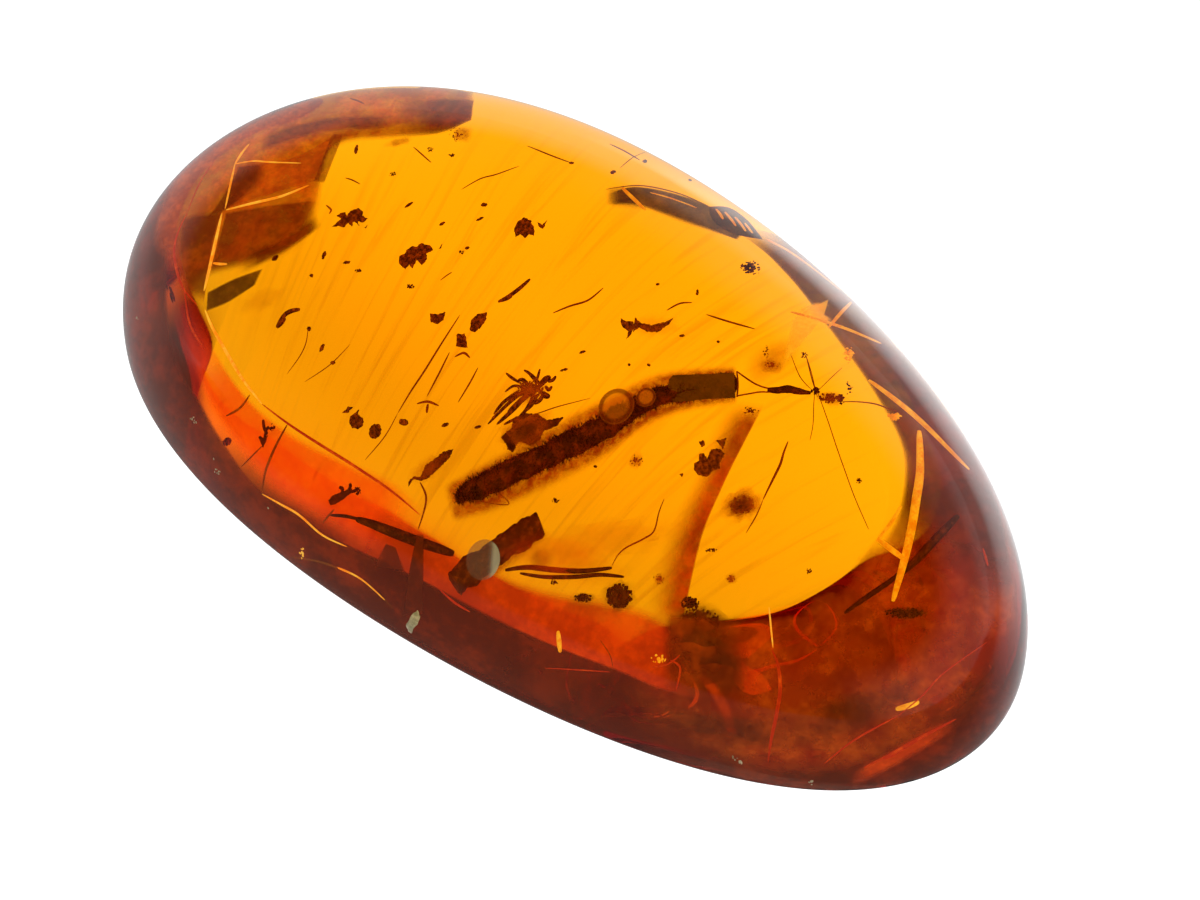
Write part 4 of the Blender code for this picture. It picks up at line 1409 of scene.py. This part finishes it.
FAN_CENTRE = (100, 890)  # the pixel from which the streaks fan out
VEIL_SHARE = 0.80
VEIL_RINGS, VEIL_SPOKES = 26, 96
VEIL_DROP = 0.8
VEIL_SOFT = 0.45
STREAK_FAN, STREAK_LENGTH = 70.0, 90.0  # noise steps per radian round the fan, and per metre along it
STREAK_MASK, STREAK_COVER = (0.48, 0.72), 0.24
STREAK_NOISE = {"Scale": 1.0, "Detail": 5.0, "Roughness": 0.62, "Distortion": 0.8}


def build_flow_streaks():
    """A thin film along the old flow surface, with streaks that fan out from one end."""
    bm = bmesh.new()
    cover = bm.verts.layers.float.new("cover")
    rings = [[bm.verts.new((0, 0, flow_height(0, 0) - VEIL_DROP))]]
    rings[0][0][cover] = 1.0
    for ring in range(1, VEIL_RINGS + 1):
        share = VEIL_SHARE * ring / VEIL_RINGS
        line = []
        for spoke in range(VEIL_SPOKES):
            x, y = plan_point(2 * math.pi * spoke / VEIL_SPOKES)
            x, y = x * share, y * share
            vert = bm.verts.new((x, y, flow_height(x, y) - VEIL_DROP))
            vert[cover] = side_fade(ring / VEIL_RINGS, 0, VEIL_SOFT)
            line.append(vert)
        rings.append(line)
    fill_disc(bm, rings)
    piece("flow_streaks", bm, streaked_film())


def streaked_film():
    """Fine streaks that run away from the fan's centre, which lies beside the stone."""
    material, tree, shader = new_material("flow_streak_film")
    across, up = (pixel - half / 2 for pixel, half in zip(FAN_CENTRE, FRAME_PX))
    px = DISTANCE * SENSOR / LENS / FRAME_PX[0]
    right = GAZE @ Vector((1, 0, 0))
    top = GAZE @ Vector((0, 1, 0))
    floor_step = Vector((top.x, top.y, 0)).normalized() / math.sin(ELEVATION)
    centre = Vector((TARGET.x, TARGET.y, 0)) + right * across * px - floor_step * up * px
    spot = node(tree, "TexCoord").outputs["Object"]
    offset = node(tree, "VectorMath", {0: spot, 1: centre * MM}, operation="SUBTRACT").outputs[0]
    axes = node(tree, "SeparateXYZ", {0: offset})
    angle = calc(tree, "ARCTAN2", axes.outputs["Y"], axes.outputs["X"])
    reach = node(tree, "VectorMath", {0: offset}, operation="LENGTH").outputs["Value"]
    round_fan = calc(tree, "MULTIPLY", angle, STREAK_FAN)
    along_fan = calc(tree, "MULTIPLY", reach, STREAK_LENGTH)
    lines = node(tree, "CombineXYZ", {"X": round_fan, "Y": along_fan})
    streak = node(tree, "TexNoise", {"Vector": lines.outputs[0], **STREAK_NOISE})
    mask = fade(tree, streak.outputs[0], *STREAK_MASK)
    given = node(tree, "Attribute", attribute_name="cover").outputs["Fac"]
    cover = calc(tree, "MULTIPLY", calc(tree, "MULTIPLY", mask, given), STREAK_COVER)
    wire(tree, cover, shader.inputs["Alpha"])
    shader.inputs["Roughness"].default_value = 0.6
    wire(tree, blended(tree, mask, srgb(236, 130, 20), srgb(220, 96, 6)), shader.inputs["Base Color"])
    return material


# ---------------------------------------------------------------- floor, light and camera

FAR = Vector((-math.sin(AZIMUTH), math.cos(AZIMUTH), 0))
RIGHT = Vector((math.cos(AZIMUTH), math.sin(AZIMUTH), 0))
FLOOR_DROP = 0.1
FLOOR_SIZE = 4000.0
FLOOR_WHITE = 1.3
FLOOR_GLOW = (1.65, 1.2)  # light that comes up through the base, near its brightest spot and away from it
GLOW_CENTRE, GLOW_SPREAD = (-3.0, 6.0), (40.0, 10.0)  # where it is brightest, and how far that reaches
GLOW_SLOPE = (0.20, 0.75)  # shares of that spread between which it fades
GLOW_REACH = (0.80, 1.3)  # shares of the stone's half length and width between which it ends
FLOOR_PAST = (0.35, 0.9)  # and past the stone, at its left and at its right
SKY = {"seen": 1.0, "soft": 1.0, "base": 0.10, "back": 0.7, "low": 0.25, "high": 1.5}
SKY_EDGE = (37.0, 46.0)  # degrees above the horizon
SKY_SIDE = 40.0  # bearing of its bright middle, in degrees to the right of straight away
SKY_BRIGHT, SKY_BEHIND = (0.45, 0.72), (-0.05, -0.4)  # edges of its bright middle, and of its back
# What the polished skin mirrors. Each fade: where it starts and ends, and its strength there
SKY_SIDE_FADE, SKY_HIGH = (0.1, 0.6, 0.02, 0.34), (0.6, 0.3)
SKY_FAR_FADE, SKY_LOW = (-0.2, 0.3, 0.0, 0.4), (0.22, 0.0)
PANEL_RIGHT, PANEL_FAR, PANEL_AWAY = (5, 20), (-25, 5), (30, 80, 1.1, 0.0)
REST_RIGHT, REST_FAR = (-70, -35, 0.02, 0.12), (-12, 20, 0.0, 0.42)
PAST_EDGE = (-10 * MM, 5 * MM)
PAINTED_SHADOW_UNDER_STONE = (0.45, 0.78, 0.35)  # painted shadow: the floor that is seen darkens under the stone


def is_ray(tree, kind):
    return node(tree, "LightPath").outputs[kind]


def by_ray(tree, seen, through, mirrored, soft):
    """Light strength by what the ray has met: seen directly, bent through, mirrored, or scattered."""
    scattered = calc(tree, "GREATER_THAN", is_ray(tree, "Diffuse Depth"), 0.5)
    strength = choose(tree, is_ray(tree, "Is Glossy Ray"), soft, mirrored)
    strength = choose(tree, is_ray(tree, "Is Transmission Ray"), strength, through)
    strength = choose(tree, scattered, strength, soft)
    return choose(tree, is_ray(tree, "Is Camera Ray"), strength, seen)


def build_sky():
    world = bpy.data.worlds.new("studio")
    bpy.context.scene.world = world
    world.use_nodes = True
    tree = world.node_tree
    way = node(tree, "TexCoord").outputs["Generated"]
    height = node(tree, "SeparateXYZ", {0: way}).outputs["Z"]
    edge = fade(tree, height, *(math.sin(math.radians(angle)) for angle in SKY_EDGE))
    side = math.radians(SKY_SIDE)
    bright = dot(tree, way, FAR * math.cos(side) + RIGHT * math.sin(side))
    glow = calc(tree, "MULTIPLY", edge, fade(tree, bright, *SKY_BRIGHT, SKY["low"], SKY["high"]))
    back = fade(tree, dot(tree, way, FAR), *SKY_BEHIND, 0.0, SKY["back"])
    through = calc(tree, "ADD", calc(tree, "MAXIMUM", glow, back), SKY["base"])
    aside = fade(tree, dot(tree, way, RIGHT), *SKY_SIDE_FADE)
    ahead = fade(tree, dot(tree, way, FAR), *SKY_FAR_FADE)
    mirrored = calc(tree, "ADD", calc(tree, "MULTIPLY", fade(tree, height, *SKY_HIGH), aside),
                    calc(tree, "MULTIPLY", fade(tree, height, *SKY_LOW), ahead))
    strength = by_ray(tree, SKY["seen"], through, mirrored, SKY["soft"])
    background = tree.nodes["Background"]
    background.inputs["Color"].default_value = (1, 1, 1, 1)
    wire(tree, strength, background.inputs["Strength"])


def plan_distance(tree, spot, centre, reach):
    """How far a point is from a centre in x and y, as a share of the reach in each."""
    shift = node(tree, "VectorMath", {0: spot, 1: Vector((*centre, 0)) * MM},
                 operation="SUBTRACT").outputs[0]
    shares = Vector((1 / (reach[0] * MM), 1 / (reach[1] * MM), 0))
    plan = node(tree, "VectorMath", {0: shift, 1: shares}, operation="MULTIPLY").outputs[0]
    return node(tree, "VectorMath", {0: plan}, operation="LENGTH").outputs["Value"]


def mirrored_floor(tree, spot):
    """What the polished surface mirrors of the floor: bright at its right, fair behind,
    little elsewhere."""
    right = calc(tree, "DIVIDE", dot(tree, spot, RIGHT), MM)
    far = calc(tree, "DIVIDE", dot(tree, spot, FAR), MM)
    reach = node(tree, "VectorMath", {0: spot}, operation="LENGTH").outputs["Value"]
    away = calc(tree, "DIVIDE", reach, MM)
    panel = calc(tree, "MULTIPLY", fade(tree, right, *PANEL_RIGHT), fade(tree, far, *PANEL_FAR))
    panel = calc(tree, "MULTIPLY", panel, fade(tree, away, *PANEL_AWAY))
    rest = calc(tree, "ADD", fade(tree, right, *REST_RIGHT), fade(tree, far, *REST_FAR))
    return calc(tree, "ADD", panel, rest)


def build_floor():
    bm = bmesh.new()
    bmesh.ops.create_grid(bm, x_segments=8, y_segments=8, size=FLOOR_SIZE / 2 * MM)
    mesh = bpy.data.meshes.new("floor")
    bm.to_mesh(mesh)
    bm.free()
    floor = bpy.data.objects.new("floor", mesh)
    floor.location.z = -FLOOR_DROP * MM
    bpy.context.scene.collection.objects.link(floor)
    material = bpy.data.materials.new("pale_floor")
    material.use_nodes = True
    tree = material.node_tree
    tree.nodes.clear()
    spot = node(tree, "NewGeometry").outputs["Position"]
    out = plan_distance(tree, spot, (0, 0), FLOW_HALF)
    off = plan_distance(tree, spot, GLOW_CENTRE, GLOW_SPREAD)
    glow = fade(tree, off, *GLOW_SLOPE, *FLOOR_GLOW)
    glow = calc(tree, "MULTIPLY", glow, fade(tree, out, *GLOW_REACH, 1.0, 0.0))
    past = fade(tree, dot(tree, spot, RIGHT), *PAST_EDGE, *FLOOR_PAST)
    through = calc(tree, "MAXIMUM", glow, past)
    # painted shadow: the floor seen straight on is darker under the stone
    under = fade(tree, out, *PAINTED_SHADOW_UNDER_STONE, FLOOR_WHITE)
    strength = by_ray(tree, under, through, mirrored_floor(tree, spot), 1.0)
    light = node(tree, "Emission", {"Color": (1, 1, 1, 1), "Strength": strength})
    output = node(tree, "OutputMaterial", {"Surface": light.outputs[0]})
    output.is_active_output = True
    mesh.materials.append(material)


def build_camera():
    lens = bpy.data.cameras.new("camera")
    lens.lens, lens.sensor_width, lens.clip_start = LENS, SENSOR, MM
    camera = bpy.data.objects.new("camera", lens)
    bpy.context.scene.collection.objects.link(camera)
    camera.location = EYE * MM
    camera.rotation_euler = GAZE.to_euler()
    bpy.context.scene.camera = camera
    bpy.context.scene.view_settings.view_transform = "Standard"


build_camera()
build_sky()
build_floor()
build_stone()
build_insect()
build_flakes()
build_clots()
build_long_bits()
build_hairs()
build_faces()
build_smudges()
build_bubbles()
build_flow_streaks()
